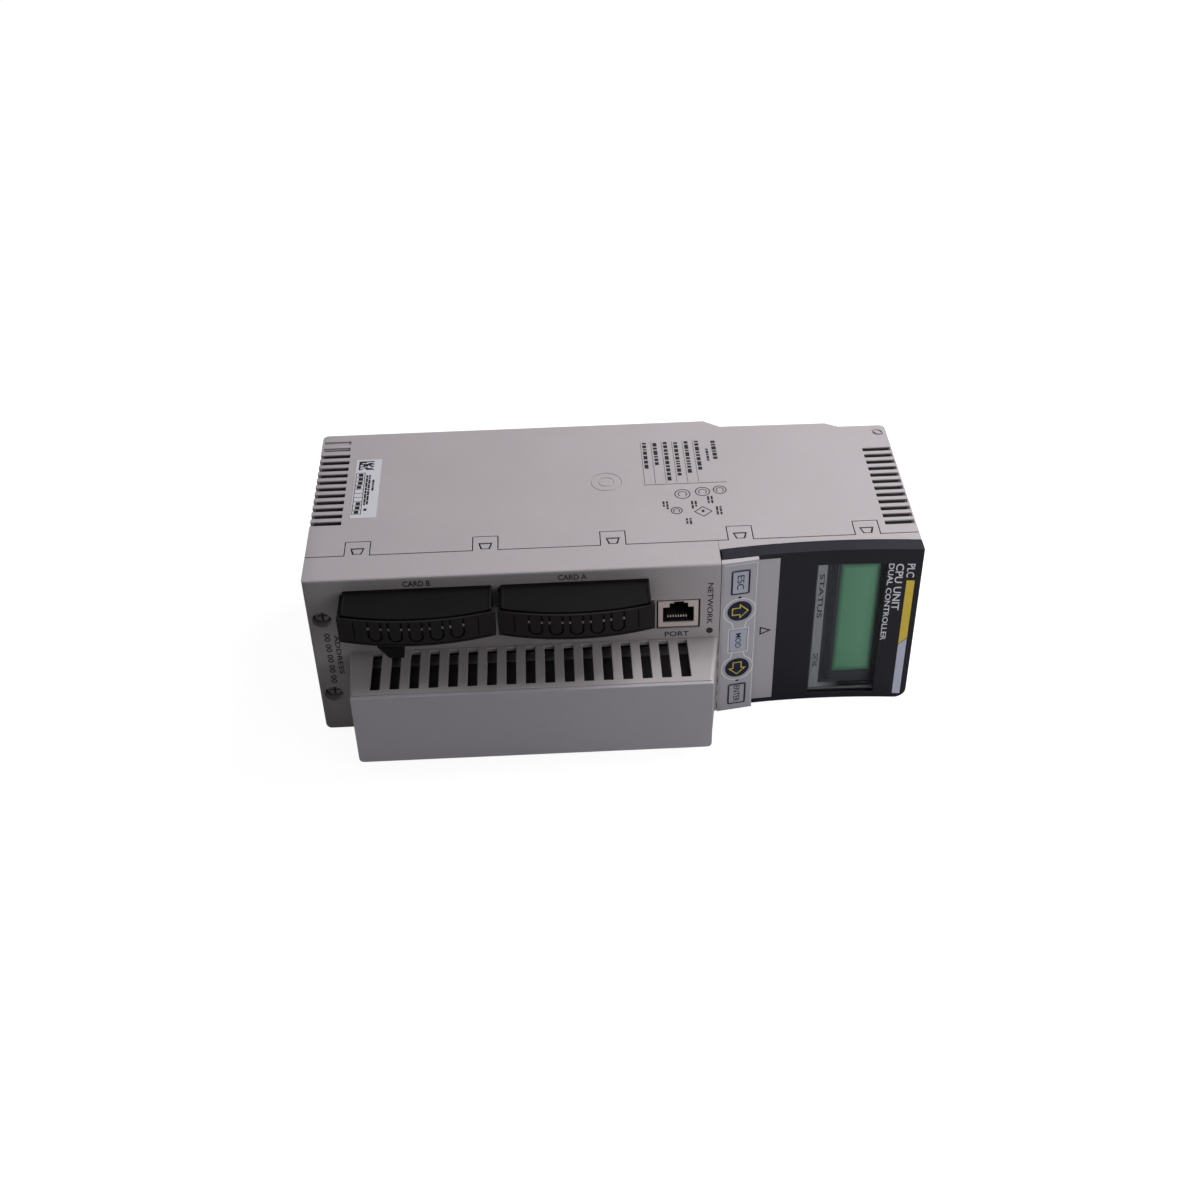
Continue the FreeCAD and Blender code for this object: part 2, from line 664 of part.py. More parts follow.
for letter, low, tab in (("b", card_b_low, (9.2, 3.2, 23.6)), ("a", card_a_low, (3.0, 1.4, 23.6))):
    centre = low + half_card
    sleeve = new_body(f"card_cover_{letter}_sleeve")
    points, radius = bow(centre, half_card, -0.4, -0.4, front + 0.05)
    pad(sleeve, "shell", "YZ_Plane", card_left, card_right - card_left, [loop(points, {1: (radius, -1)})])
    soften(sleeve, "edges", 0.6, lambda b: b.YLength > 10 and b.ZLength < 0.1 and b.XLength < 0.1)
    pad(sleeve, "tongue", "XZ_Plane", 78.0, front + 0.2 - 78.0, [
        rect(card_left + 1.9, card_right - 1.9, low + 2.9, low + card_length - 2.9)])
    pocket(sleeve, "core", "XZ_Plane", 77.0, front + 10.0 - 77.0, [
        rect(card_left + 3.4, card_right - 3.4, low + 4.6, low + card_length - 4.6)])
    tab_reach, tab_root, tab_tip = tab
    pad(sleeve, "pull_tab", "XZ_Plane", front + 10.5, 6.0, [loop([
        (card_right - 0.5, low + 13.4), (card_right + tab_root, low + 13.4),
        (card_right + tab_reach, low + 17.8), (card_right + tab_reach, low + tab_tip),
        (card_right + tab_root, low + 24.2), (card_right + tab_root, low + 28.8),
        (card_right - 0.5, low + 28.8)])])
    pad(sleeve, "end_lip", "YZ_Plane", card_left + 1.5, card_right - card_left - 1.5, [
        rect(-card_end_depth + 3.4, -front - 0.6, low - 1.2, low + 0.3)])
    pocket(sleeve, "top_panel", "YZ_Plane", card_left - 0.5, 0.8, [
        rect(-front - 22.0, -front - 1.2, low + 1.1, low + card_length - 1.1)])

    reach = half_card + 1.3
    cap = new_body(f"card_cover_{letter}_cap")
    points, radius = bow(centre, reach, 0.3, 0.3, card_end_depth - 3.0)
    pad(cap, "shell", "YZ_Plane", card_left + 1.7, 11.8, [loop(points, {1: (radius, -1)})])
    points, radius = bow(centre, half_card + 0.05, -0.35, -0.35, card_end_depth - 4.0)
    pocket(cap, "seat", "YZ_Plane", card_left - 1.0, 16.0, [loop(points, {1: (radius, -1)})])
    grip = new_body(f"card_cover_{letter}_grip")
    points, radius = bow(centre, reach, 1.0, 1.4, card_end_depth - 3.0)
    pad(grip, "shell", "YZ_Plane", card_left + 0.6, 12.3, [loop(points, {1: (radius, -1)})])
    points, radius = bow(centre, reach + 1.0, 0.35, 0.35, card_end_depth - 4.0)
    pocket(grip, "back", "YZ_Plane", card_left - 1.0, 16.0, [loop(points, {1: (radius, -1)})])
    pocket(grip, "grooves", "XZ_Plane", 112.0, 20.0, grooves(centre))
    ends = [centre - reach + 6.4, centre + reach - 6.8]
    pocket(grip, "end_lines", "XZ_Plane", 112.0, 20.0, [rect(-33.3, -24.4, z, z + 0.4) for z in ends])
    pocket(grip, "border_line", "XZ_Plane", 112.0, 20.0, [
        rect(-23.0, -22.6, centre - reach + 1.4, centre + reach - 1.4)])

    can = card_box(f"cage_can_{letter}", low, 1.0, 1.8, 58.0, 100.0)
    void = card_box(f"cage_void_{letter}", low, 1.6, 2.4, 57.0, 101.0)
    keep(minus(f"card_cage_{letter}", can, [void]), f"card_cage_{letter}")
    body = card_box(f"socket_body_{letter}", low, 1.7, 2.5, 52.0, 66.0)
    slot = card_box(f"socket_slot_{letter}", low, 4.6, 5.0, 60.0, 67.0)
    keep(minus(f"card_socket_{letter}", body, [slot]), f"card_socket_{letter}")

# ---------------------------------------------------------------- captive screws
for name, side in (("left", -1), ("right", 1)):
    x = slot_pitch / 2 * side
    ring = minus(f"screw_stop_{name}", rod(f"stop_rod_{name}", x, screw_line, 3.9, 97.0, 97.8), [
        rod(f"stop_bore_{name}", x, screw_line, 3.5, 96.0, 99.0)])
    keep(ring, f"screw_stop_{name}")
    collar = minus(f"screw_collar_{name}", rod(f"collar_rod_{name}", x, screw_line, 3.75, 90.0, 91.0), [
        rod(f"collar_bore_{name}", x, screw_line, 1.6, 89.0, 92.0)])
    keep(collar, f"screw_collar_{name}")

    screw = doc.addObject("PartDesign::Body", f"captive_screw_{name}")
    screw.setExpression(".Placement.Base.x", x.text)
    keep(screw, f"captive_screw_{name}")
    outline = loop([
        (0, 6.0), (1.4, 6.0), (2.0, 5.2), (2.0, 0.0), (1.8, 0.0), (1.8, -89.9), (1.5, -89.9),
        (1.5, -91.1), (2.4, -91.1), (2.4, -96.4), (3.4, -96.4), (3.4, -100.6), (2.9, -101.2),
        (0, -101.2)])
    sketch = sketch_on(screw, "profile", "XY_Plane", 0, [outline])
    turned = screw.newObject("PartDesign::Revolution", f"{screw.Name}_turned")
    turned.Profile = sketch
    turned.ReferenceAxis = (sketch, ["V_Axis"])
    turned.Angle = 360
    screw.Tip = turned
    doc.recompute()
    pocket(screw, "slot", "XZ_Plane", 99.2, 3.0, [rect(-4, 4, -0.45, 0.45)])
    pocket(screw, "cross", "XZ_Plane", 99.0, 3.0, [rect(-0.45, 0.45, -2.0, 2.0)])

# ---------------------------------------------------------------- display
tray = new_body("display_bezel")
tray_low, tray_high, strip_high = window_low + 1, window_high - 0.1, window_low + 4.9
pad(tray, "base", "XZ_Plane", 90.0, 1.2, [rect(window_left, tray_right, tray_low, tray_high)])
low_profile = loop([(-91.0, tray_low), (-lens_arc(tray_low, 3.0), tray_low),
                    (-lens_arc(strip_high, 3.0), strip_high), (-91.0, strip_high)])
pad(tray, "low_strip", "YZ_Plane", window_left, tray_right - window_left, [low_profile])
tall_profile = loop([(-91.0, tray_low), (-95.0, tray_low), (-95.0, tray_high), (-91.0, tray_high)])
pad(tray, "right_strip", "YZ_Plane", tray_right - 1.8, 1.8, [tall_profile])
pad(tray, "left_strip", "YZ_Plane", window_left, 1.0, [tall_profile])
pad(tray, "top_strip", "XZ_Plane", 91.0, 4.0, [rect(window_left, tray_right, tray_high - 1.0, tray_high)])

lcd_frame = new_body("lcd_frame")
lcd_left, lcd_right = window_left + 1.1, tray_right - 1.9
pad(lcd_frame, "plate", "XZ_Plane", 91.25, 2.85, [
    rect(lcd_left, lcd_right, strip_high + 0.1, window_high - 1.2)])
pocket(lcd_frame, "opening", "XZ_Plane", 90.0, 6.0, [rect(-30.2, 28.9, 218.2, 234.6)])
ridge = [rect(lcd_left + 1.5, lcd_right - 1.5, 213.4, 213.9)]
pocket(lcd_frame, "ridges", "XZ_Plane", 93.6, 2.0, ridge, ("Z_Axis", 0.95, 4))
keep(block("lcd_glass", -30.1, 28.8, 91.3, 93.9, 218.3, 234.5), "lcd_glass")

# ---------------------------------------------------------------- keypad
keypad = new_body("keypad_block")
rest = -0.25
cheek = [
    (-lens_arc(keypad_low, rest), keypad_low), (-keypad_low_depth, keypad_low),
    (-keypad_high_depth, keypad_high), (-lens_arc(keypad_high, rest), keypad_high),
]
pad(keypad, "face", "YZ_Plane", -half + 0.2, width - 0.4, [loop(cheek)])
plinth = [(-95.55, keypad_low), (-keypad_low_depth + 0.5, keypad_low),
          (-keypad_high_depth + 0.5, keypad_high), (-95.55, keypad_high)]
pad(keypad, "plinth", "YZ_Plane", -core_x + 0.1, 2 * core_x - 0.2, [loop(plinth)])
pocket(keypad, "well", "XZ_Plane", 95.0, 4.2, [rect(-37.1, 37.1, keypad_low + 0.8, keypad_high - 0.8)])

key_boxes = {
    "key_escape": (-36.1, -23.6, 171.8, 179.6),
    "key_mode": (-4.9, 7.2, 172.0, 179.5),
    "key_enter": (25.4, 37.0, 172.2, 180.0),
}
key_discs = {"key_up": up_key_x, "key_right": right_key_x}
light_spots = {"key_light_left": (-21.7, 175.7), "key_light_right": (23.4, 176.1)}
holes = [rect(x0, x1, z0, z1) for x0, x1, z0, z1 in key_boxes.values()]
holes += [disc(x, key_line, round_key_radius) for x in key_discs.values()]
holes += [disc(x, z, 0.85) for x, z in light_spots.values()]
pocket(keypad, "holes", "XZ_Plane", 95.0, 12.0, holes)


def slope_cutter(proud):
    """Everything ahead of the sloping keypad face, raised by a small amount."""
    low, high = keypad_low - 2, keypad_high + 2
    slope = (keypad_low_depth - keypad_high_depth) / (keypad_high - keypad_low)
    at_low = keypad_low_depth + slope * 2 + proud
    at_high = keypad_high_depth - slope * 2 + proud
    return loop([(-at_low, low), (-at_high, high), (as_size(-112.0), high), (as_size(-112.0), low)])


def finish_key(key):
    pocket(key, "slope", "YZ_Plane", -half - 2, width + 4, [slope_cutter(0.25)])


gap = 0.12
for name, (x0, x1, z0, z1) in key_boxes.items():
    key = new_body(name)
    pad(key, "cap", "XZ_Plane", 98.6, 10.0, [rect(x0 + gap, x1 - gap, z0 + gap, z1 - gap)])
    reach = 0.35 if name == "key_enter" else 0.7
    pad(key, "flange", "XZ_Plane", 98.0, 1.15, [
        rect(x0 - 0.5, x1 - gap + reach - 0.3, z0 - 0.6, z1 + 0.6)])
    finish_key(key)
for name, x in key_discs.items():
    key = new_body(name)
    pad(key, "cap", "XZ_Plane", 98.6, 10.0, [disc(x, key_line, round_key_radius - gap)])
    pad(key, "flange", "XZ_Plane", 98.0, 1.15, [disc(x, key_line, round_key_radius + 0.6)])
    finish_key(key)
for name, (x, z) in light_spots.items():
    keep(rod(name, x, z, 0.75, 97.0, 102.8), name)

mat = new_body("key_mat")
pad(mat, "sheet", "XZ_Plane", 95.6, 0.8, [rect(-36.8, 36.8, keypad_low + 1.2, keypad_high - 1.2)])
middles = [-29.85, 1.15, 31.3, up_key_x, right_key_x]
pad(mat, "domes", "XZ_Plane", 96.3, 1.1, [disc(x, key_line, 2.4) for x in middles])
pocket(mat, "light_holes", "XZ_Plane", 95.0, 3.0, [disc(x, z, 1.0) for x, z in light_spots.values()])

# ---------------------------------------------------------------- deck controls
switch_body = minus("key_switch_body", rod("switch_can", switch_x, deck_line, 6.0, 90.0, 95.6), [
    rod("switch_bore", switch_x, deck_line, 4.05, 91.5, 97.0)])
keep(switch_body, "key_switch_body")
rotor = minus("key_rotor", rod("rotor_plug", switch_x, deck_line, 4.0, 91.55, 95.9), [
    block("rotor_slot", switch_x - 0.5, switch_x + 0.5, 92.5, 97.0, deck_line - 2.6, deck_line + 2.6)])
keep(rotor, "key_rotor")
button = fused("reset_button", [
    rod("reset_cap", 0.0, deck_line, 2.0, 92.6, 96.0),
    rod("reset_foot", 0.0, deck_line, 2.8, 92.0, 92.7)])
keep(button, "reset_button")
keep(block("reset_switch", -3.0, 3.0, 90.0, 90.9, deck_line - 3.0, deck_line + 3.0), "reset_switch")


def battery_box(name, half_length, half_height, back, ahead):
    return block(name, battery_x - half_length, battery_x + half_length, back, ahead,
                 deck_line - half_height, deck_line + half_height)


holder = minus("battery_holder", battery_box("holder_box", 14.5, 8.0, 79.0, 95.4), [
    battery_box("holder_void", 13.3, 7.1, 80.5, 97.0)])
keep(holder, "battery_holder")
cell = doc.addObject("Part::Cylinder", "battery_cell")
cell.Placement = FreeCAD.Placement(Vector(0, -87.6, 0), FreeCAD.Rotation(Vector(0, 1, 0), 90))
cell.Radius = 7.0
cell.Height = 25.2
cell.setExpression(".Placement.Base.x", (battery_x - 12.6).text)
cell.setExpression(".Placement.Base.z", (deck_line - screw_line).text)
keep(cell, "battery_cell")

# ---------------------------------------------------------------- lens cover
def lens_slice(low, high, ahead, behind):
    """Curved slab between two heights that follows the lens surface."""
    points = [(-lens_arc(low, ahead), low), (-lens_arc(high, ahead), high),
              (-lens_arc(high, behind), high), (-lens_arc(low, behind), low)]
    return loop(points, {0: (lens_radius + ahead, 1), 2: (lens_radius + behind, -1)})


lens = new_body("lens_cover")
pad(lens, "sheet", "YZ_Plane", -half, width, [lens_slice(lens_black, height, 0.0, 2.0)])
rail = lens_slice(lens_rail_low, height, 0.0, lens_rail)
pad(lens, "rail_left", "YZ_Plane", -half, 2.4, [rail])
pad(lens, "rail_right", "YZ_Plane", half - 2.4, 2.4, [rail])
pocket(lens, "window", "XZ_Plane", 88, 20, [rect(window_left, window_right, window_low, window_high)])
pocket(lens, "corner", "XZ_Plane", 88, 20, [loop([
    (half - corner_radius, height), (half - corner_radius, height + 1.0), (half + 1.0, height + 1.0),
    (half + 1.0, height - corner_radius), (half, height - corner_radius)], {4: (corner_radius, 1)})])

pane = new_body("lens_pane")
pad(pane, "sheet", "YZ_Plane", window_left + 0.05, window_right - window_left - 0.1, [
    lens_slice(window_low + 0.05, window_high - 0.05, 0.9, 1.9)])
grip_panel = new_body("lens_grip")
pad(grip_panel, "sheet", "YZ_Plane", -half + 2.4, width - 4.8, [
    lens_slice(lens_low, lens_black, 0.0, 2.0)])
pocket(grip_panel, "arrow", "XZ_Plane", 98.9, 3.0, [
    loop([(-2.5, 185.2), (1.9, 185.2), (-0.3, 189.9)]),
    loop([(-1.75, 185.6), (1.15, 185.6), (-0.3, 188.8)])])

# ---------------------------------------------------------------- labels and rack hooks
label = block("side_label", -half - 0.12, -half, 20.0, 63.0, 16.2, 27.2)
keep(label, "side_label")
for name, x in (("left", -slot_pitch / 2), ("right", slot_pitch / 2)):
    hook = new_body(f"rack_hook_{name}")
    pad(hook, "profile", "YZ_Plane", x - 3.0, 6.0, [loop([
        (-5.55, 222.0), (-5.35, 204.0), (-3.4, 204.0), (-3.4, 214.0), (-2.0, 214.0), (-2.0, 206.0),
        (-0.6, 206.0), (-0.6, 217.5), (-3.4, 222.0)])])

# ---------------------------------------------------------------- check and export
doc.recompute()
for item in doc.Objects:
    if "Invalid" in item.State or "Error" in item.State:
        raise ValueError(f"{item.Label}: {item.State}")
os.makedirs("parts", exist_ok=True)
for item in nodes:
    shape = item.Shape
    if shape.isNull() or not shape.isValid():
        raise ValueError(f"{item.Label}: shape is not valid")
    shape.exportStep(f"parts/{item.Label}.step")
    b = shape.BoundBox
    spans = (b.XMin, b.XMax, b.YMin, b.YMax, b.ZMin, b.ZMax)
    text = " ".join(f"{number:8.2f}" for number in spans)
    print(f"{item.Label:26s} solids {len(shape.Solids)} {text}")
print(len(nodes), "sub-parts")
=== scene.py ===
import math
import random

import bpy
from mathutils import Matrix, Vector


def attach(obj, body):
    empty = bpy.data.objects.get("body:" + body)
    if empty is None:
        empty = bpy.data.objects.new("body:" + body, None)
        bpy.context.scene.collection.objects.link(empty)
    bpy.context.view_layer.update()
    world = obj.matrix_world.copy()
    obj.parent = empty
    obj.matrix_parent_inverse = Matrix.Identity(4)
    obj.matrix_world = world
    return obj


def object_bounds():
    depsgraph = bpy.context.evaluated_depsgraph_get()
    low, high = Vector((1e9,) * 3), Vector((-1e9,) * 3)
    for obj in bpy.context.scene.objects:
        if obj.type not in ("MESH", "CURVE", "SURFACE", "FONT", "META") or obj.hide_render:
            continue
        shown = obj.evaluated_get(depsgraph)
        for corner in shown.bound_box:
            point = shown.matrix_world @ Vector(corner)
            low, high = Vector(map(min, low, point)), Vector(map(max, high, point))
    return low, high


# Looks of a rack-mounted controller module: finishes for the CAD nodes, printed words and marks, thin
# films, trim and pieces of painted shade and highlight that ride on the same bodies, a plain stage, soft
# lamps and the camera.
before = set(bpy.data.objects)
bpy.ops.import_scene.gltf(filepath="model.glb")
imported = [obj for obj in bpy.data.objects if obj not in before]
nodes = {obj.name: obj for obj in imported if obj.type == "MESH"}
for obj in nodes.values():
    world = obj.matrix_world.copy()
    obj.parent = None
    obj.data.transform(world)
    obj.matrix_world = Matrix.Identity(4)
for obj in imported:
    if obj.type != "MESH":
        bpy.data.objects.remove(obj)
cad_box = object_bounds()
random.seed(7)

MM = 0.001
SCREW_LINE = 5.8          # height of the screw axes above the bottom edge, mm
FRONT = 104.0             # depth of the front face
SIDE = 40.5               # half width
LENS_CENTRE = 448.1       # depth of the lens cover's centre of curvature
LENS_RADIUS = 350.0
LENS_MID = 213.0          # height at which the lens cover is nearest the housing
TAB_SPOTS = [21.0 + 52.0 * i for i in range(5)]   # heights of the snap tabs
KEYPAD = (167.75, 182.9, 104.0, 101.7)   # low and high edge, depth at each
TRAY_BEHIND_LENS = 3.0    # the display tray's strip lies this far behind the lens surface
TAB_FLOOR = SIDE - 0.62   # floor of the snap-tab windows
CAP_HALF, CAP_END, CAP_MIDDLE = 30.8, 119.1, 123.3   # bowed card cover cap: half length, depths
GROOVE_PITCH = 8.1        # finger grooves on the caps
GROOVE_HALF = 2.53
JACK_MOUTH = (-23.0, -8.0, 141.55, 159.45)
WIRE_FIRST, WIRE_PITCH, WIRE_COUNT = 146.25, 1.08, 8   # jack contacts
DIMPLE_DEEP = 0.8         # floor of the crescent recess in the side
DECK = 96.3               # depth of the deck behind the lens cover

# Boxes in metres, in the frame's own axes, where a finish or a painted shade changes.
# Inside the shell the tone is lowered: painted shade, so the hollow reads dark through the vents.
SHELL_INSIDE_SHADE = ((-0.0400, -0.0815, -0.0045), (0.0400, -0.0105, 0.2429))
# The front face is painted a shade darker low down: painted shade.
FRONT_SHADE = ((-0.0415, -0.1046, -0.0060), (0.0415, -0.1037, 0.2000))
FRONT_SHADE_FADE = (0.115, 0.160)                # heights between which the painted shade on the front face fades
OFF_THE_FLOOR = ((-0.10, -0.20, -0.0056), (0.0398, 0.10, 0.30))   # all but the faces set down on a floor get the painted corner shade
SINK_BAR = ((-1.0, -0.1071, -1.0), (0.0040, -0.1019, 1.0))
DISPLAY_WIDE = (-0.0301, 0.0288)
DISPLAY_TALL = (0.2125, 0.2287)
TRAY_DARK_UP = (0.2068, 0.2160)            # painted shade darkens the display tray over these heights
TRAY_DARK_BACK = (-0.0935, -0.0925)        # and over these depths
CORNER_REACH = 0.012      # how far dust and painted shade reach from a corner
GROOVE_REACH = 0.0011     # a gap narrower than this gets painted shade as a dark line


# ---------------------------------------------------------------- surfaces
def lens_depth(level):
    return LENS_CENTRE - math.sqrt(LENS_RADIUS ** 2 - (level - LENS_MID) ** 2)


def place(x, depth, level):
    return Vector((x * MM, -depth * MM, (level - SCREW_LINE) * MM))


def on_front(u, v, w):
    return place(u, FRONT + w, v)


def on_side(u, v, w):
    """u is depth, which runs to the right as the left side is read."""
    return place(-SIDE - w, u, v)


def on_lens(u, v, w):
    return place(u, lens_depth(v) + w, v)


def on_keypad(u, v, w):
    low, high, near_low, near_high = KEYPAD
    share = (v - low) / (high - low)
    return place(u, near_low + (near_high - near_low) * share + w, v)


def on_strip(u, v, w):
    """Face of the tray's lower strip, which follows the lens surface."""
    back = LENS_RADIUS + TRAY_BEHIND_LENS
    return place(u, LENS_CENTRE - math.sqrt(back ** 2 - (v - LENS_MID) ** 2) + w, v)


def on_depth(depth):
    return lambda u, v, w: place(u, depth + w, v)


# ---------------------------------------------------------------- flat shapes
def shrunk(box, amount):
    x0, x1, y0, y1 = box
    return x0 + amount, x1 - amount, y0 + amount, y1 - amount


def box_loop(x0, x1, y0, y1, radius=0.0, steps=5):
    if radius <= 0:
        return [(x0, y0), (x1, y0), (x1, y1), (x0, y1)]
    corners = ((x1 - radius, y0 + radius, -90), (x1 - radius, y1 - radius, 0),
               (x0 + radius, y1 - radius, 90), (x0 + radius, y0 + radius, 180))
    points = []
    for cx, cy, start in corners:
        for i in range(steps + 1):
            angle = math.radians(start + 90 * i / steps)
            points.append((cx + radius * math.cos(angle), cy + radius * math.sin(angle)))
    return points


def ring_points(x, y, radius, start=0.0, turn=360.0, steps=48):
    closed = turn >= 360
    count = steps if closed else steps + 1
    return [(x + radius * math.cos(math.radians(start + turn * i / steps)),
             y + radius * math.sin(math.radians(start + turn * i / steps))) for i in range(count)]


def offset_line(points, amount, closed):
    """The polyline moved sideways, with mitred corners."""
    moved = []
    count = len(points)
    for i, point in enumerate(points):
        before = points[i - 1] if (closed or i > 0) else None
        after = points[(i + 1) % count] if (closed or i < count - 1) else None
        normals = []
        for a, b in ((before, point), (point, after)):
            if a is None or b is None:
                continue
            step = Vector((b[0] - a[0], b[1] - a[1]))
            if step.length > 1e-9:
                step.normalize()
                normals.append(Vector((-step.y, step.x)))
        middle = sum(normals, Vector((0, 0)))
        if middle.length < 1e-9:
            middle = normals[0]
        middle.normalize()
        stretch = 1 / max(0.4, middle.dot(normals[0]))
        moved.append((point[0] + middle.x * amount * stretch, point[1] + middle.y * amount * stretch))
    return moved


def stroke(points, width, closed=False):
    """Loops that draw a line of a given width."""
    left = offset_line(points, width / 2, closed)
    right = offset_line(points, -width / 2, closed)
    if closed:
        return [left, right]
    return [left + right[::-1]]


def mesh_from(curve):
    """Filled mesh of a curve or text datablock, then the datablock is removed."""
    holder = bpy.data.objects.new("holder", curve)
    bpy.context.scene.collection.objects.link(holder)
    graph = bpy.context.evaluated_depsgraph_get()
    mesh = bpy.data.meshes.new_from_object(holder.evaluated_get(graph))
    bpy.data.objects.remove(holder)
    return mesh


def filled(loops, thick):
    curve = bpy.data.curves.new("shape", "CURVE")
    curve.dimensions = "2D"
    curve.fill_mode = "BOTH"
    curve.extrude = thick / 2
    for points in loops:
        line = curve.splines.new("POLY")
        line.points.add(len(points) - 1)
        for spot, (x, y) in zip(line.points, points):
            spot.co = (x, y, 0, 1)
        line.use_cyclic_u = True
    mesh = mesh_from(curve)
    bpy.data.curves.remove(curve)
    return mesh


def lettering(words, x0, x1, y0, y1, thick, turn, bold):
    """Text fitted to a rectangle; turn 90 reads upwards."""
    curve = bpy.data.curves.new("words", "FONT")
    curve.body = words
    curve.extrude = thick / 2
    curve.resolution_u = 3
    curve.offset = bold
    mesh = mesh_from(curve)
    bpy.data.curves.remove(curve)
    xs = [v.co.x for v in mesh.vertices]
    ys = [v.co.y for v in mesh.vertices]
    long_side, short_side = (x1 - x0, y1 - y0) if turn == 0 else (y1 - y0, x1 - x0)
    sx = long_side / (max(xs) - min(xs))
    sy = short_side / (max(ys) - min(ys))
    for v in mesh.vertices:
        a = (v.co.x - min(xs)) * sx
        b = (v.co.y - min(ys)) * sy
        v.co.x, v.co.y = (x0 + a, y0 + b) if turn == 0 else (x1 - b, y0 + a)
    return mesh


class Print:
    """Thin raised ink, film or trim gathered into one piece on one surface.

    lift is the gap under the print and thick is its thickness, both in mm.
    """

    def __init__(self, name, surface, material, body, slot, lift, thick):
        self.name, self.surface, self.material = name, surface, material
        self.body, self.slot, self.lift, self.thick = body, slot, lift, thick
        self.vertices, self.faces = [], []

    def take(self, mesh):
        base = len(self.vertices)
        for v in mesh.vertices:
            self.vertices.append(self.surface(v.co.x, v.co.y, v.co.z + self.thick / 2 + self.lift))
        for face in mesh.polygons:
            self.faces.append([base + i for i in face.vertices])
        bpy.data.meshes.remove(mesh)
        return self

    def fill(self, *loops):
        return self.take(filled(loops, self.thick))

    def line(self, points, width, closed=False):
        return self.fill(*stroke(points, width, closed))

    def words(self, text, x0, x1, y0, y1, turn=0, bold=0.012):
        return self.take(lettering(text, x0, x1, y0, y1, self.thick, turn, bold))

    def done(self):
        mesh = bpy.data.meshes.new(self.name)
        mesh.from_pydata([tuple(v) for v in self.vertices], [], self.faces)
        mesh.validate()
        mesh.update()
        mesh.materials.append(self.material)
        piece = bpy.data.objects.new(self.name, mesh)
        bpy.context.scene.collection.objects.link(piece)
        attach(piece, self.body)
        return piece


# ---------------------------------------------------------------- materials
class Graph:
    """Small wrapper that keeps node set-up readable."""

    def __init__(self, name):
        self.material = bpy.data.materials.new(name)
        self.material.use_nodes = True
        self.tree = self.material.node_tree
        self.tree.nodes.clear()
        self.output = self.tree.nodes.new("ShaderNodeOutputMaterial")
        self.space = self.add("ShaderNodeTexCoord").outputs["Object"]

    def add(self, kind, **inputs):
        made = self.tree.nodes.new(kind)
        for key, value in inputs.items():
            self.feed(made, key, value)
        return made

    def feed(self, made, key, value):
        socket = made.inputs[int(key[1:])] if key[0] == "_" else made.inputs[key.replace("_", " ")]
        if isinstance(value, bpy.types.NodeSocket):
            self.tree.links.new(value, socket)
        else:
            socket.default_value = value

    def noise(self, scale, detail=2.0, roughness=0.5, space=None):
        made = self.add("ShaderNodeTexNoise", Scale=scale, Detail=detail, Roughness=roughness)
        self.tree.links.new(space or self.space, made.inputs["Vector"])
        return made.outputs["Fac"]

    def stretched(self, sx, sy, sz):
        made = self.add("ShaderNodeMapping", Scale=(sx, sy, sz))
        self.tree.links.new(self.space, made.inputs["Vector"])
        return made.outputs["Vector"]

    def sums(self, operation, a, b=0.0):
        made = self.tree.nodes.new("ShaderNodeMath")
        made.operation = operation
        self.feed(made, "_0", a)
        self.feed(made, "_1", b)
        return made.outputs[0]

    def span(self, value, low, high, out_low=0.0, out_high=1.0):
        made = self.add("ShaderNodeMapRange", From_Min=low, From_Max=high,
                        To_Min=out_low, To_Max=out_high)
        self.tree.links.new(value, made.inputs["Value"])
        return made.outputs["Result"]

    def blend(self, share, a, b):
        made = self.tree.nodes.new("ShaderNodeMix")
        made.data_type = "RGBA"
        self.feed(made, "_0", share)
        self.feed(made, "_6", a if isinstance(a, bpy.types.NodeSocket) else (*a, 1))
        self.feed(made, "_7", b if isinstance(b, bpy.types.NodeSocket) else (*b, 1))
        return made.outputs[2]

    def within(self, low, high):
        """1 inside a box in object space, 0 outside it."""
        split = self.add("ShaderNodeSeparateXYZ", Vector=self.space)
        share = 1.0
        for axis, a, b in zip("XYZ", low, high):
            above = self.sums("GREATER_THAN", split.outputs[axis], a)
            below = self.sums("LESS_THAN", split.outputs[axis], b)
            share = self.sums("MULTIPLY", share, self.sums("MULTIPLY", above, below))
        return share

    def edge(self, radius):
        """Softened normal, and a mask that is 1 on edges."""
        soft = self.add("ShaderNodeBevel", Radius=radius)
        soft.samples = 4
        plain = self.add("ShaderNodeNewGeometry").outputs["Normal"]
        dot = self.tree.nodes.new("ShaderNodeVectorMath")
        dot.operation = "DOT_PRODUCT"
        self.tree.links.new(soft.outputs["Normal"], dot.inputs[0])
        self.tree.links.new(plain, dot.inputs[1])
        return soft.outputs["Normal"], self.span(dot.outputs["Value"], 0.995, 0.80)

    def bump(self, height, strength, distance, normal=None):
        made = self.add("ShaderNodeBump", Strength=strength, Distance=distance, Height=height)
        if normal is not None:
            self.tree.links.new(normal, made.inputs["Normal"])
        return made.outputs["Normal"]

    def finish(self, **inputs):
        surface = self.add("ShaderNodeBsdfPrincipled", **inputs)
        self.tree.links.new(surface.outputs["BSDF"], self.output.inputs["Surface"])
        return self.material


def tone(colour, factor):
    return tuple(min(1.0, c * factor) for c in colour)


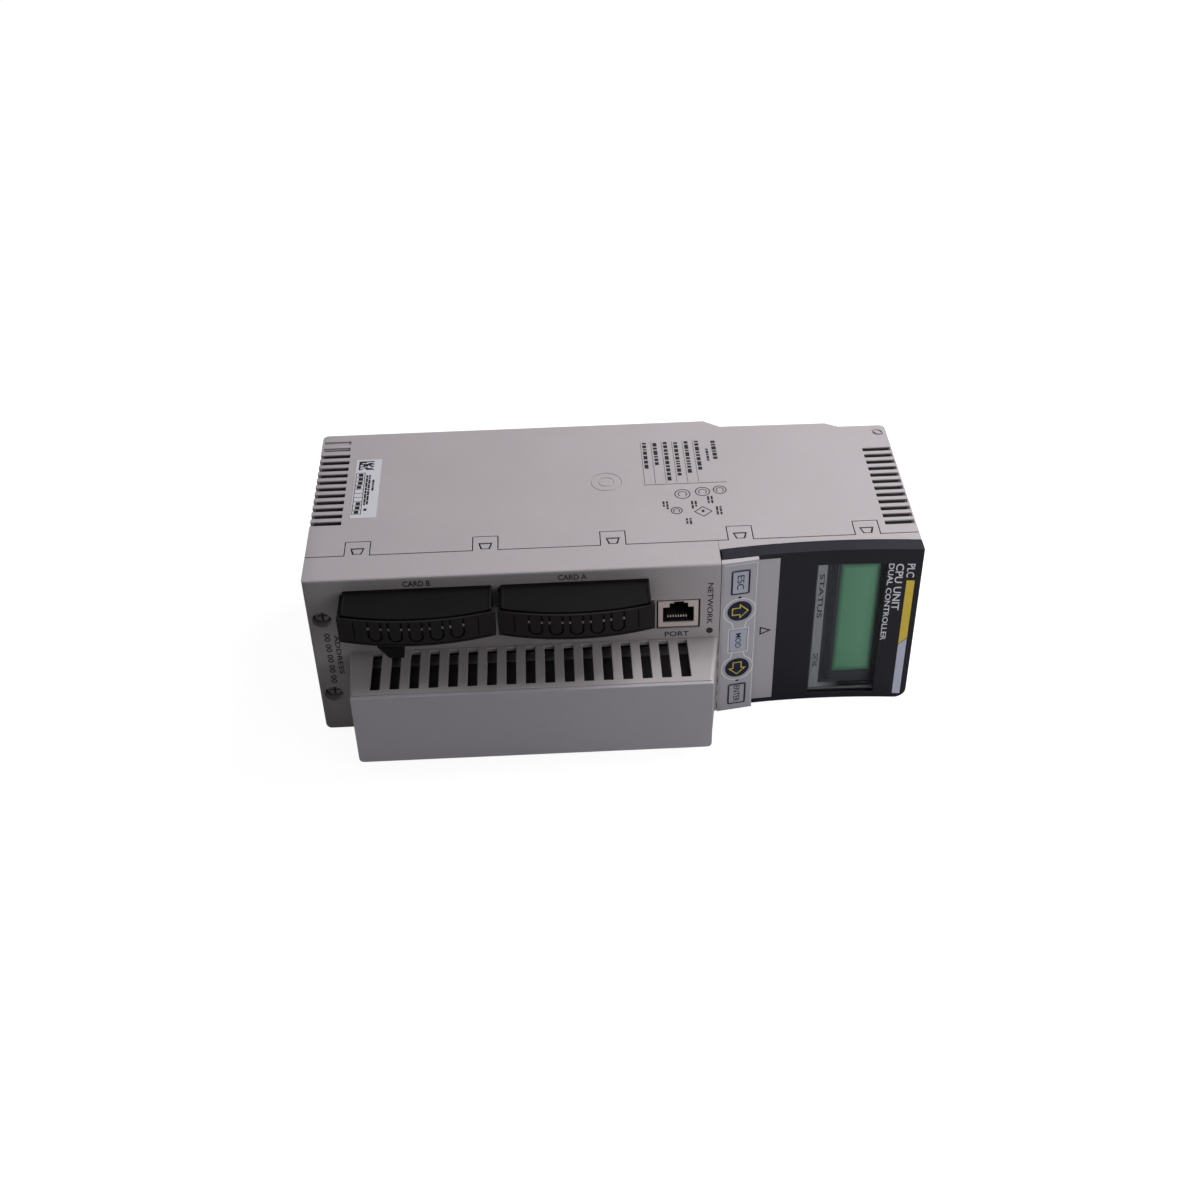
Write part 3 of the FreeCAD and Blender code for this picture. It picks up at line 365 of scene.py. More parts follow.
def plastic(name, colour, roughness=0.5, grain=0.25, grain_size=2600.0, variation=0.06,
            edge_wear_and_highlight=1.12, radius=0.00035, dust_and_shade=0.38, specular=0.4, coat=0.0,
            inside=None, inside_tone=0.06, fade=None):
    """Moulded plastic: fine texture, cloudy tone, softened edges lightened for wear and a painted
    highlight, dust with painted shade in the corners, and painted shade in narrow gaps.

    Within the box called inside the tone is lowered to inside_tone as painted shade; fade is the pair of
    heights over which that painted shade dies away.
    """
    g = Graph(name)
    normal, rim = g.edge(radius)
    cloud = g.noise(28.0, 4.0, 0.6)
    speck = g.noise(900.0, 3.0, 0.7)
    colour_a = g.blend(cloud, tone(colour, 1 - variation), tone(colour, 1 + variation))
    colour_b = g.blend(g.span(speck, 0.35, 0.75, 0.0, 0.18), colour_a, tone(colour, 0.82))
    # Edges lightened: edge wear and a painted highlight.
    colour_c = g.blend(g.sums("MULTIPLY", rim, 0.55), colour_b, tone(colour, edge_wear_and_highlight))
    # Darkening in corners from ambient occlusion: dust and painted shade.
    corner = g.add("ShaderNodeAmbientOcclusion", Distance=CORNER_REACH)
    corner.samples = 6
    sheltered = g.within(*OFF_THE_FLOOR)
    shade = g.sums("MULTIPLY", sheltered, g.span(corner.outputs["AO"], 0.25, 0.85, dust_and_shade, 0.0))
    dusty_shaded = g.blend(shade, colour_c, tone(colour, 0.35))
    # Narrow gaps painted nearly black: painted shade.
    groove = g.add("ShaderNodeAmbientOcclusion", Distance=GROOVE_REACH)
    groove.samples = 6
    deep = g.sums("MULTIPLY", sheltered, g.span(groove.outputs["AO"], 0.18, 0.50, 0.93, 0.0))
    final = g.blend(deep, dusty_shaded, tone(colour, 0.04))
    # Inside the given box the tone is lowered: painted shade.
    if inside is not None:
        share = g.within(*inside)
        if fade is not None:
            level = g.add("ShaderNodeSeparateXYZ", Vector=g.space).outputs["Z"]
            share = g.sums("MULTIPLY", share, g.span(level, *fade, 1.0, 0.0))
        final = g.blend(share, final, g.blend(1.0 - inside_tone, final, (0.001, 0.001, 0.001)))
    texture = g.noise(grain_size, 2.0, 0.6)
    streak = g.noise(1.0, 3.0, 0.6, g.stretched(60.0, 60.0, 700.0))
    rough = g.sums("ADD", g.span(cloud, 0.3, 0.7, roughness - 0.05, roughness + 0.05),
                   g.span(streak, 0.4, 0.7, 0.0, 0.05))
    return g.finish(Base_Color=final, Roughness=rough, Normal=g.bump(texture, grain, 0.00006, normal),
                    Specular_IOR_Level=specular, Coat_Weight=coat, Coat_Roughness=0.18)


def metal(name, colour, roughness=0.32, brush=(40.0, 2400.0, 2400.0), radius=0.0002, wear=0.3):
    g = Graph(name)
    normal, rim = g.edge(radius)
    lines = g.noise(1.0, 4.0, 0.7, g.stretched(*brush))
    stain = g.noise(160.0, 4.0, 0.6)
    tint = g.blend(g.span(stain, 0.35, 0.7, 0.0, wear), colour, tone(colour, 0.55))
    # Edges lightened: edge wear and a painted highlight.
    tint = g.blend(g.sums("MULTIPLY", rim, 0.6), tint, tone(colour, 1.3))
    rough = g.sums("ADD", g.span(lines, 0.3, 0.7, roughness - 0.08, roughness + 0.1),
                   g.span(stain, 0.4, 0.8, 0.0, 0.15))
    return g.finish(Base_Color=tint, Metallic=1.0, Roughness=rough,
                    Normal=g.bump(lines, 0.12, 0.00004, normal))


def anodised(name):
    """Black anodised heat sink whose clamp bar is left plain."""
    g = Graph(name)
    normal, rim = g.edge(0.00025)
    near_bar = g.within(*SINK_BAR)
    lines = g.noise(1.0, 4.0, 0.7, g.stretched(2200.0, 2200.0, 40.0))
    stain = g.noise(120.0, 4.0, 0.6)
    dark = g.blend(stain, (0.045, 0.043, 0.043), (0.075, 0.072, 0.072))
    plain = g.blend(stain, (0.36, 0.34, 0.34), (0.46, 0.44, 0.43))
    # Edges lightened: edge wear and a painted highlight.
    tint = g.blend(near_bar, g.blend(g.sums("MULTIPLY", rim, 0.5), dark, (0.16, 0.155, 0.155)), plain)
    return g.finish(Base_Color=tint, Metallic=0.35, Roughness=g.span(lines, 0.3, 0.7, 0.34, 0.52),
                    Normal=g.bump(lines, 0.15, 0.00005, normal))


def ink(name, colour, roughness=0.55):
    """Screen-printed ink with small gaps and slight tone changes."""
    g = Graph(name)
    cloud = g.noise(300.0, 4.0, 0.6)
    tint = g.blend(cloud, tone(colour, 0.86), tone(colour, 1.1))
    rough = g.span(cloud, 0.3, 0.7, roughness - 0.06, roughness + 0.06)
    return g.finish(Base_Color=tint, Roughness=rough, Normal=g.bump(g.noise(5000.0, 2.0), 0.1, 0.00003))


def circuit_board(name, colour):
    g = Graph(name)
    normal, rim = g.edge(0.0001)
    tracks = g.add("ShaderNodeTexBrick", Scale=240.0, Mortar_Size=0.035)
    g.tree.links.new(g.space, tracks.inputs["Vector"])
    pads = g.add("ShaderNodeTexVoronoi", Scale=420.0)
    g.tree.links.new(g.space, pads.inputs["Vector"])
    base = g.blend(g.sums("MULTIPLY", tracks.outputs["Fac"], 0.7), colour, tone(colour, 1.9))
    gold = g.blend(g.span(pads.outputs["Distance"], 0.16, 0.12), base, (0.55, 0.42, 0.16))
    return g.finish(Base_Color=gold, Roughness=0.38, Specular_IOR_Level=0.5,
                    Normal=g.bump(tracks.outputs["Fac"], 0.25, 0.0001, normal))


def display_glass(name):
    """Unlit reflective display: green film and dot rows, with a painted glow lighter towards the top and
    painted shade darker towards its rim.
    """
    g = Graph(name)
    split = g.add("ShaderNodeSeparateXYZ", Vector=g.space)
    across = g.span(split.outputs["X"], *DISPLAY_WIDE, -1.0, 1.0)
    up = g.span(split.outputs["Z"], *DISPLAY_TALL, -1.0, 1.0)
    rim_x = g.span(g.sums("ABSOLUTE", across), 0.90, 1.0)
    rim_z = g.span(g.sums("ABSOLUTE", up), 0.78, 1.0)
    rim = g.sums("MAXIMUM", rim_x, rim_z)
    # Lighter towards the top: painted glow.
    glow = g.blend(g.span(up, -1.0, 1.0), (0.185, 0.44, 0.265), (0.27, 0.60, 0.38))
    cloud = g.noise(60.0, 3.0)
    glow = g.blend(g.span(cloud, 0.3, 0.7, 0.0, 0.12), glow, (0.14, 0.34, 0.22))
    # Darker towards the rim: painted shade.
    body = g.blend(g.sums("MULTIPLY", rim, 0.75), glow, (0.045, 0.10, 0.07))
    dots = g.add("ShaderNodeTexChecker", Scale=1700.0)
    g.tree.links.new(g.space, dots.inputs["Vector"])
    final = g.blend(g.sums("MULTIPLY", dots.outputs["Fac"], 0.07), body, (0.07, 0.17, 0.11))
    return g.finish(Base_Color=final, Roughness=0.32, Specular_IOR_Level=0.35,
                    Normal=g.bump(g.noise(1200.0, 2.0), 0.03, 0.00003))


def display_tray(name):
    """Brushed grey lower strip and right end; the far walls are painted almost black as painted shade,
    and its edges are lightened for wear and a painted highlight.
    """
    g = Graph(name)
    normal, rim = g.edge(0.0002)
    split = g.add("ShaderNodeSeparateXYZ", Vector=g.space)
    lines = g.noise(1.0, 4.0, 0.7, g.stretched(60.0, 2600.0, 2600.0))
    pale = g.blend(g.span(lines, 0.3, 0.7), (0.46, 0.44, 0.47), (0.58, 0.56, 0.59))
    # Towards the far walls the tone falls to almost black: painted shade.
    far = g.span(split.outputs["Z"], *TRAY_DARK_UP)
    deep = g.span(split.outputs["Y"], *TRAY_DARK_BACK)
    shade = g.sums("MAXIMUM", far, deep)
    tint = g.blend(shade, pale, (0.016, 0.016, 0.020))
    # Edges lightened: edge wear and a painted highlight.
    edge_worn_lit = g.blend(g.sums("MULTIPLY", rim, 0.4), tint, (0.62, 0.60, 0.63))
    return g.finish(Base_Color=edge_worn_lit, Metallic=0.25, Roughness=g.span(lines, 0.3, 0.7, 0.36, 0.5),
                    Normal=g.bump(lines, 0.12, 0.00004, normal))


def clear_sheet(name):
    """Thin clear window that lets the display through, with a faint haze and smudges."""
    g = Graph(name)
    facing = g.add("ShaderNodeLayerWeight", Blend=0.12).outputs["Fresnel"]
    smudge = g.noise(45.0, 5.0, 0.65)
    see = g.add("ShaderNodeBsdfTransparent", Color=(0.93, 0.95, 0.95, 1))
    smear = g.span(smudge, 0.4, 0.75, 0.04, 0.22)
    shine = g.add("ShaderNodeBsdfGlossy", Color=(1, 1, 1, 1), Roughness=smear)
    mixed = g.add("ShaderNodeMixShader", _0=g.sums("ADD", g.sums("MULTIPLY", facing, 0.5), 0.012))
    g.tree.links.new(see.outputs[0], mixed.inputs[1])
    g.tree.links.new(shine.outputs[0], mixed.inputs[2])
    g.tree.links.new(mixed.outputs[0], g.output.inputs["Surface"])
    return g.material


CASE = (0.515, 0.478, 0.497)
FILM = (0.540, 0.528, 0.575)
KEY_TOP = (0.560, 0.575, 0.690)
NAVY = (0.009, 0.018, 0.050)
case_grey = plastic("case_grey", CASE, 0.52)
# Front face a shade darker low down: painted shade.
front_grey_shaded = plastic("front_grey_shaded", CASE, 0.52, inside=FRONT_SHADE, inside_tone=0.72, fade=FRONT_SHADE_FADE)
# Inside of the shell painted dark: painted shade.
shell_grey = plastic("shell_grey", CASE, 0.52, inside=SHELL_INSIDE_SHADE, inside_tone=0.15)
hood_grey = plastic("hood_grey", (0.470, 0.439, 0.446), 0.5, variation=0.05, edge_wear_and_highlight=1.5,
                    radius=0.0005)
panel_grey = plastic("panel_grey", (0.470, 0.452, 0.490), 0.46, variation=0.05, radius=0.0003)
grip_grey = plastic("grip_grey", (0.56, 0.545, 0.575), 0.46, grain=0.15, radius=0.00025)
sleeve_black = plastic("sleeve_black", (0.0075, 0.0070, 0.0070), 0.5, grain=0.4, grain_size=1500.0,
                       variation=0.2, edge_wear_and_highlight=1.8, dust_and_shade=0.1, specular=0.14)
cap_black = plastic("cap_black", (0.0190, 0.0165, 0.0160), 0.46, grain=0.3, grain_size=1900.0,
                    variation=0.2, edge_wear_and_highlight=1.5, radius=0.0002, dust_and_shade=0.2, specular=0.18)
lens_black = plastic("lens_black", (0.0235, 0.0225, 0.0320), 0.36, grain=0.05, variation=0.15,
                     edge_wear_and_highlight=3.0, dust_and_shade=0.1, specular=0.28)
# Pale ribs in the finger grooves: painted glints.
rib_glint_grey = plastic("rib_glint_grey", (0.60, 0.58, 0.56), 0.25, grain=0.1, radius=0.0001, dust_and_shade=0.0)
jack_tin = plastic("jack_tin", (0.72, 0.62, 0.58), 0.30, grain=0.1, variation=0.08, edge_wear_and_highlight=1.3,
                   radius=0.0002, dust_and_shade=0.2, specular=0.7)
dark_insert = plastic("dark_insert", (0.02, 0.02, 0.022), 0.5, variation=0.2, edge_wear_and_highlight=2.5,
                      dust_and_shade=0.1)
display_dark = plastic("display_dark", (0.088, 0.088, 0.110), 0.42, variation=0.15, edge_wear_and_highlight=1.5,
                       radius=0.0001, dust_and_shade=0.3)
display_metal = display_tray("display_metal")
keypad_film = plastic("keypad_film", FILM, 0.38, grain=0.2, grain_size=3400.0, variation=0.04,
                      radius=0.00012, dust_and_shade=0.1)
key_film = plastic("key_film", KEY_TOP, 0.36, grain=0.15, grain_size=3400.0, variation=0.04,
                   radius=0.00012, dust_and_shade=0.1)
keypad_base = plastic("keypad_base", (0.56, 0.54, 0.57), 0.46)
navy_film = plastic("navy_film", NAVY, 0.34, grain=0.15, variation=0.2, edge_wear_and_highlight=2.5,
                    radius=0.00015, dust_and_shade=0.1)
board_green = circuit_board("board_green", (0.012, 0.085, 0.035))
chip_black = plastic("chip_black", (0.02, 0.02, 0.021), 0.6, grain=0.4)
tin_steel = metal("tin_steel", (0.62, 0.61, 0.58))
screw_steel = plastic("screw_steel", (0.30, 0.29, 0.28), 0.4, grain=0.1, variation=0.14,
                      edge_wear_and_highlight=1.4, radius=0.0002, dust_and_shade=0.12, specular=0.7)
sink_aluminium = anodised("sink_aluminium")
contact_gold = metal("contact_gold", (0.83, 0.60, 0.26), 0.25)
# Jack contacts painted dark along their length: painted shade.
contact_shaded = plastic("contact_shaded", (0.060, 0.050, 0.036), 0.4, grain=0.05, variation=0.1,
                       radius=0.0001)
# Pale contact tips: painted highlight.
contact_lit_tip = plastic("contact_lit_tip", (0.86, 0.80, 0.66), 0.22, grain=0.05, variation=0.1,
                       radius=0.0001, dust_and_shade=0.0, specular=0.9)
rubber_grey = plastic("rubber_grey", (0.10, 0.105, 0.11), 0.8, grain=0.5)
label_white = plastic("label_white", (0.72, 0.72, 0.78), 0.4, grain=0.1, variation=0.03,
                      radius=0.0001, dust_and_shade=0.1)
lamp_red = plastic("lamp_red", (0.045, 0.030, 0.016), 0.25, grain=0.05, coat=0.5)
lamp_dark = plastic("lamp_dark", (0.02, 0.02, 0.018), 0.25, grain=0.05, coat=0.5)
battery_wrap = plastic("battery_wrap", (0.33, 0.35, 0.40), 0.3, grain=0.05, coat=0.4)
display_green = display_glass("display_green")
clear_lens = clear_sheet("clear_lens")
white_ink = ink("white_ink", (0.86, 0.87, 0.93))
blue_white_ink = ink("blue_white_ink", (0.66, 0.69, 0.85), 0.45)
yellow_ink = ink("yellow_ink", (0.93, 0.67, 0.085), 0.45)
dark_ink = ink("dark_ink", (0.012, 0.012, 0.014))
grey_ink = ink("grey_ink", (0.07, 0.068, 0.07))
navy_ink = ink("navy_ink", (0.010, 0.016, 0.045))

finishes = {
    case_grey: ["display_frame", "rack_hook_left", "rack_hook_right"],
    front_grey_shaded: ["front_bezel"],
    shell_grey: ["rear_housing"],
    hood_grey: ["vent_hood"],
    panel_grey: ["hood_panel"],
    jack_tin: ["jack_shield"],
    key_film: ["key_escape", "key_mode"],
    grip_grey: ["lens_grip"],
    sleeve_black: ["card_cover_a_sleeve", "card_cover_b_sleeve"],
    cap_black: ["card_cover_a_cap", "card_cover_b_cap", "card_cover_a_grip", "card_cover_b_grip"],
    lens_black: ["lens_cover"],
    clear_lens: ["lens_pane"],
    dark_insert: ["rack_connector", "jack_body", "card_socket_a", "card_socket_b", "battery_holder",
                  "key_switch_body", "reset_button", "reset_switch"],
    display_dark: ["lcd_frame"],
    display_metal: ["display_bezel"],
    display_green: ["lcd_glass"],
    keypad_base: ["keypad_block"],
    keypad_film: ["key_enter"],
    navy_film: ["key_up", "key_right"],
    board_green: ["main_board", "port_board", "display_board"],
    chip_black: ["processor_chip"],
    tin_steel: ["card_cage_a", "card_cage_b", "screw_stop_left", "screw_stop_right",
                "screw_collar_left", "screw_collar_right", "key_rotor", "capacitor_1", "capacitor_2"],
    screw_steel: ["captive_screw_left", "captive_screw_right"],
    sink_aluminium: ["heat_sink"],
    contact_gold: ["rack_contacts"],
    contact_shaded: ["jack_contacts"],
    rubber_grey: ["key_mat"],
    label_white: ["side_label"],
    lamp_red: ["key_light_left", "key_light_right"],
    lamp_dark: ["status_light"],
    battery_wrap: ["battery_cell"],
}
for finish, names in finishes.items():
    for name in names:
        mesh = nodes[name].data
        mesh.materials.clear()
        mesh.materials.append(finish)

# ---------------------------------------------------------------- keypad film and legends
KEY_BOXES = {"escape": (-36.1, -23.6, 171.8, 179.6), "mode": (-4.9, 7.2, 172.0, 179.5),
             "enter": (25.4, 37.0, 172.2, 180.0)}
KEY_DISCS = {"up": -14.7, "right": 16.3}
KEY_LINE = 175.8
film = Print("keypad_film", on_keypad, keypad_film, "module", "keypad_film", 0.01, 0.14)
film.fill(box_loop(-39.4, 39.4, 168.6, 182.6, 1.2),
          *[box_loop(*shrunk(box, -0.05)) for box in KEY_BOXES.values()],
          *[ring_points(x, KEY_LINE, 5.16) for x in KEY_DISCS.values()],
          ring_points(-21.7, 175.7, 0.8, steps=20), ring_points(23.4, 176.1, 0.8, steps=20))
film.done()

# White line along two edges of the keypad film: painted highlight.
edge_highlight = Print("keypad_edge_highlight", on_keypad, white_ink, "module", "label_white", 0.16, 0.03)
edge_highlight.line([(-39.2, 168.8), (-39.2, 182.4), (39.2, 182.4)], 0.3)
edge_highlight.done()

RING = 6.65   # white ring round each arrow key
GAP = 27.0    # half the opening of each ring, degrees
rings = Print("keypad_rings", on_keypad, white_ink, "module", "label_white", 0.16, 0.04)
for x, gap_at in ((KEY_DISCS["up"], 0.0), (KEY_DISCS["right"], 180.0)):
    rings.line(ring_points(x, KEY_LINE, RING, gap_at + GAP, 360.0 - 2 * GAP), 0.5)
left_x = KEY_DISCS["up"] + RING * math.cos(math.radians(GAP))
right_x = KEY_DISCS["right"] - RING * math.cos(math.radians(GAP))
reach = RING * math.sin(math.radians(GAP))
for sign in (-1, 1):
    rings.line([(left_x, KEY_LINE + sign * reach), (-5.6, KEY_LINE + sign * 2.4)], 0.5)
    rings.line([(right_x, KEY_LINE + sign * reach), (7.9, KEY_LINE + sign * 2.4)], 0.5)
rings.line(box_loop(-5.3, 7.6, 171.6, 179.9, 0.4), 0.5, True)
rings.done()

LEGENDS = (("escape", "ESC", 2.6, 2.9), ("mode", "MOD", 2.1, 2.4), ("enter", "ENTER", 1.2, 2.6))
for key, word, inset, tall in LEGENDS:
    x0, x1, z0, z1 = KEY_BOXES[key]
    legend = Print(f"legend_{key}", on_keypad, navy_ink, f"{key}_key", "key_navy", 0.27, 0.04)
    if key != "mode":
        legend.line(box_loop(*shrunk(KEY_BOXES[key], 0.42), 0.6), 0.6, True)
    middle = (z0 + z1) / 2
    legend.words(word, x0 + inset, x1 - inset, middle - tall / 2, middle + tall / 2, bold=0.004)
    legend.done()


def arrow(x, y, turn):
    """Outline of a broad arrow that points up before it is turned."""
    shape = [(0, 3.5), (3.4, 0.2), (1.75, 0.2), (1.75, -3.0), (-1.75, -3.0), (-1.75, 0.2), (-3.4, 0.2)]
    c, s = math.cos(math.radians(turn)), math.sin(math.radians(turn))
    return [(x + a * c - b * s, y + a * s + b * c) for a, b in shape]


for key, turn in (("up", 0), ("right", -90)):
    legend = Print(f"legend_{key}", on_keypad, yellow_ink, f"{key}_key", "key_navy", 0.27, 0.05)
    legend.line(arrow(KEY_DISCS[key], KEY_LINE, turn), 0.42, True)
    legend.done()

# ---------------------------------------------------------------- lens cover print
lens_white = Print("lens_words", on_lens, white_ink, "lens", "label_white", 0.02, 0.05)
lens_white.words("PLC", -33.0, -26.0, 243.9, 247.1)
lens_white.words("CPU UNIT", -33.0, -8.5, 239.4, 242.6)
lens_white.words("DUAL CONTROLLER", -33.0, 8.0, 236.4, 238.7)
lens_white.done()
bar = Print("lens_bar_yellow", on_lens, yellow_ink, "lens", "label_white", 0.02, 0.05)
bar.fill([(-24.4, 244.3), (10.0, 244.3), (6.4, 247.6), (-24.4, 247.6)])
bar.done()
bar = Print("lens_bar_pale", on_lens, blue_white_ink, "lens", "label_white", 0.02, 0.05)
bar.fill([(10.4, 244.3), (38.2, 244.3), (38.2, 247.6), (6.8, 247.6)])
bar.done()
mark = Print("grip_arrow", on_lens, dark_ink, "lens", "key_navy", 0.005, 0.04)
mark.line([(-2.12, 185.4), (1.52, 185.4), (-0.3, 189.35)], 0.6, True)
mark.done()

strip = Print("display_words", on_strip, grey_ink, "module", "key_navy", 0.03, 0.04)
strip.words("STATUS", -26.0, -2.5, 209.4, 211.5)
strip.words("DETAIL", 17.5, 25.0, 209.4, 211.5)
strip.done()

# ---------------------------------------------------------------- front face print
front_words = Print("front_words", on_front, dark_ink, "module", "key_navy", 0.01, 0.04)
front_words.words("CARD B", -38.5, -35.7, 40.0, 51.0, 90)
front_words.words("CARD A", -38.5, -35.7, 102.0, 113.5, 90)
front_words.words("PORT", -6.2, -3.6, 145.0, 155.0, 90)
front_words.words("NETWORK", -31.0, -9.5, 162.3, 164.6)
front_words.words("ADDRESS", -12.0, 9.0, 9.6, 11.6)
front_words.words("00 00 00 00 00", -13.0, 14.0, 5.6, 8.0)
front_words.done()


# ---------------------------------------------------------------- jack trim, painted shade in its gap and painted highlight on the contact tips
# Dark ring in the gap round the jack: painted shade.
gap_shade = Print("jack_gap_shade", on_depth(102.7), dark_insert, "module", "dark_plastic", 0.0, 0.5)
gap_shade.fill(box_loop(*shrunk(JACK_MOUTH, 0.03)), box_loop(*shrunk(JACK_MOUTH, 0.72)))
gap_shade.done()
# Pale contact tips: painted highlight on the lit ends.
tips = Print("jack_contact_tips", on_depth(101.2), contact_lit_tip, "module", "contact_gold", 0.0, 0.5)
for wire in range(WIRE_COUNT):
    level = WIRE_FIRST + WIRE_PITCH * wire
    tips.fill(box_loop(-12.9, -12.0, level, level + 0.45))
tips.done()
rim_lines = Print("jack_rim", on_front, case_grey, "module", "case_grey", 0.0, 0.14)
rim_lines.line([(-23.2, 141.4), (-7.8, 141.4), (-7.8, 159.6)], 0.3)
rim_lines.done()


# ---------------------------------------------------------------- grip ribs, pale to paint glints in the finger grooves
def cap_depth(centre, z):
    """Depth of the cap's outer skin under the finger grooves."""
    sag = CAP_MIDDLE - CAP_END
    radius = (CAP_HALF ** 2 + sag ** 2) / (2 * sag)
    return CAP_MIDDLE - radius + math.sqrt(radius ** 2 - (z - centre) ** 2)


def on_cap(centre):
    return lambda u, v, w: place(u, cap_depth(centre, v) + w, v)


for letter, centre in (("b", 45.5), ("a", 108.7)):
    ribs = Print(f"grip_ribs_{letter}", on_cap(centre), rib_glint_grey, f"card_cover_{letter}", "dark_plastic",
                 0.0, 0.7)
    for step in range(-2, 3):
        for side in (-1, 1):
            z = centre + GROOVE_PITCH * step + side * GROOVE_HALF
            for x in (-30.5, -29.9):
                ribs.fill(box_loop(x, x + 0.28, z - 0.5, z + 0.5))
    ribs.done()


# ---------------------------------------------------------------- shaded floors of small recesses
def in_dimple(u, v, w):
    return place(-SIDE + DIMPLE_DEEP - w, u, v)


def tab_floor(side):
    return lambda u, v, w: place(side * (TAB_FLOOR + w), u, v)


shade = Print("dimple_shade", in_dimple, dark_insert, "module", "dark_plastic", 0.0, 0.5)
shade.line(ring_points(14.03, 247.17, 2.95, -92.0, 102.0, 14), 0.85)
shade.done()
for side, name in ((-1, "left"), (1, "right")):
    shade = Print(f"tab_shades_{name}", tab_floor(side), dark_insert, "module", "dark_plastic",
                  0.0, 0.12)
    for spot in TAB_SPOTS:
        wedge = [(83.8, spot - 2.55), (87.35, spot - 1.58), (87.35, spot + 1.58), (83.8, spot + 2.55)]
        shade.line(wedge, 0.5, True)
    shade.done()
# Dark strip along the hood's edge: painted shade.
hood_shade = Print("hood_edge_shade", on_front, dark_insert, "module", "dark_plastic", 0.0, 0.1)
hood_shade.fill(box_loop(-0.38, 1.0, 20.0, 162.0))
hood_shade.done()

# ---------------------------------------------------------------- side print
def greek(target, x0, x1, y, tall, gap=0.7):
    """A line of unreadable short bars that stands for small print."""
    x = x0
    while x < x1 - 0.8:
        reach = min(x1, x + random.uniform(0.9, 3.4))
        target.fill(box_loop(x, reach, y, y + tall))
        x = reach + gap


side_print = Print("side_small_print", on_side, dark_ink, "module", "key_navy", 0.01, 0.03)
greek(side_print, 16.0, 31.0, 171.6, 1.9, 0.7)
greek(side_print, 22.0, 32.0, 168.8, 1.1, 0.5)
SMALL_PRINT = ((15.5, 38.0), (15.5, 40.0), (16.0, 42.0), (15.5, 45.0), (16.0, 33.0), (15.5, 37.0))
for row, (start, stop) in enumerate(SMALL_PRINT):
    level = 164.4 - row * 4.6
    greek(side_print, start, stop, level, 1.7, 0.8)
    side_print.line([(15.0, level - 0.75), (46.8, level - 0.75)], 0.16)
side_print.line([(47.6, 140.0), (47.6, 175.5)], 0.28)
for x, y, size in ((53.2, 172.0, 2.7), (54.0, 164.6, 3.0), (55.2, 156.0, 3.2), (66.8, 152.6, 2.3)):
    side_print.line(ring_points(x, y, size), 0.42, True)
    side_print.line(ring_points(x, y, size * 0.55, 40.0, 280.0, 20), 0.36)
side_print.line([(68.2, 160.0), (71.6, 163.6), (68.2, 167.2), (64.8, 163.6)], 0.42, True)
greek(side_print, 67.0, 69.6, 163.0, 1.1, 0.4)
for x, y in ((57.5, 167.6), (60.5, 160.6), (60.0, 148.6), (72.5, 157.4), (65.0, 170.6)):
    for row in range(2):
        greek(side_print, x, x + random.uniform(4.0, 6.0), y - row * 1.5, 0.85, 0.45)
side_print.done()

label_print = Print("label_print", on_side, dark_ink, "module", "key_navy", 0.13, 0.03)
CELL = 0.66
for column in range(10):
    for row in range(10):
        if random.random() < 0.45 or row == 0 or column == 0:
            x, y = 21.3 + column * CELL, 17.5 + row * CELL
            label_print.fill(box_loop(x, x + CELL, y, y + CELL))
label_print.line(box_loop(30.2, 60.2, 16.9, 20.6), 0.26, True)
for cell in range(10):
    x = 30.2 + 3.0 * cell
    label_print.line([(x, 16.9), (x, 20.6)], 0.26)
    if cell in (0, 1, 2, 3, 7, 8, 9):
        greek(label_print, x + 0.5, x + 2.6, 17.6 + random.uniform(0.0, 0.5), 1.9, 0.35)
for row in range(2):
    greek(label_print, 32.0, 54.0, 21.2 + row * 1.15, 0.85, 0.4)
greek(label_print, 56.4, 58.0, 21.6, 1.3, 0.3)
greek(label_print, 35.5, 43.5, 24.0, 0.9, 0.4)
label_print.done()

# ---------------------------------------------------------------- deck print behind the lens cover
deck_print = Print("deck_print", on_depth(DECK), dark_ink, "module", "key_navy", 0.02, 0.04)
deck_print.words("RESET", -4.0, 4.0, 200.2, 201.8)
deck_print.line(ring_points(-24.0, 195.0, 6.9), 0.3, True)
deck_print.done()


# ---------------------------------------------------------------- stage
def camera_height(g, kind, value):
    """World Z of a point or direction given in the camera's own axes."""
    turned = g.add("ShaderNodeVectorTransform", Vector=value)
    turned.vector_type = kind
    turned.convert_from = "CAMERA"
    turned.convert_to = "WORLD"
    return g.add("ShaderNodeSeparateXYZ", Vector=turned.outputs[0]).outputs["Z"]


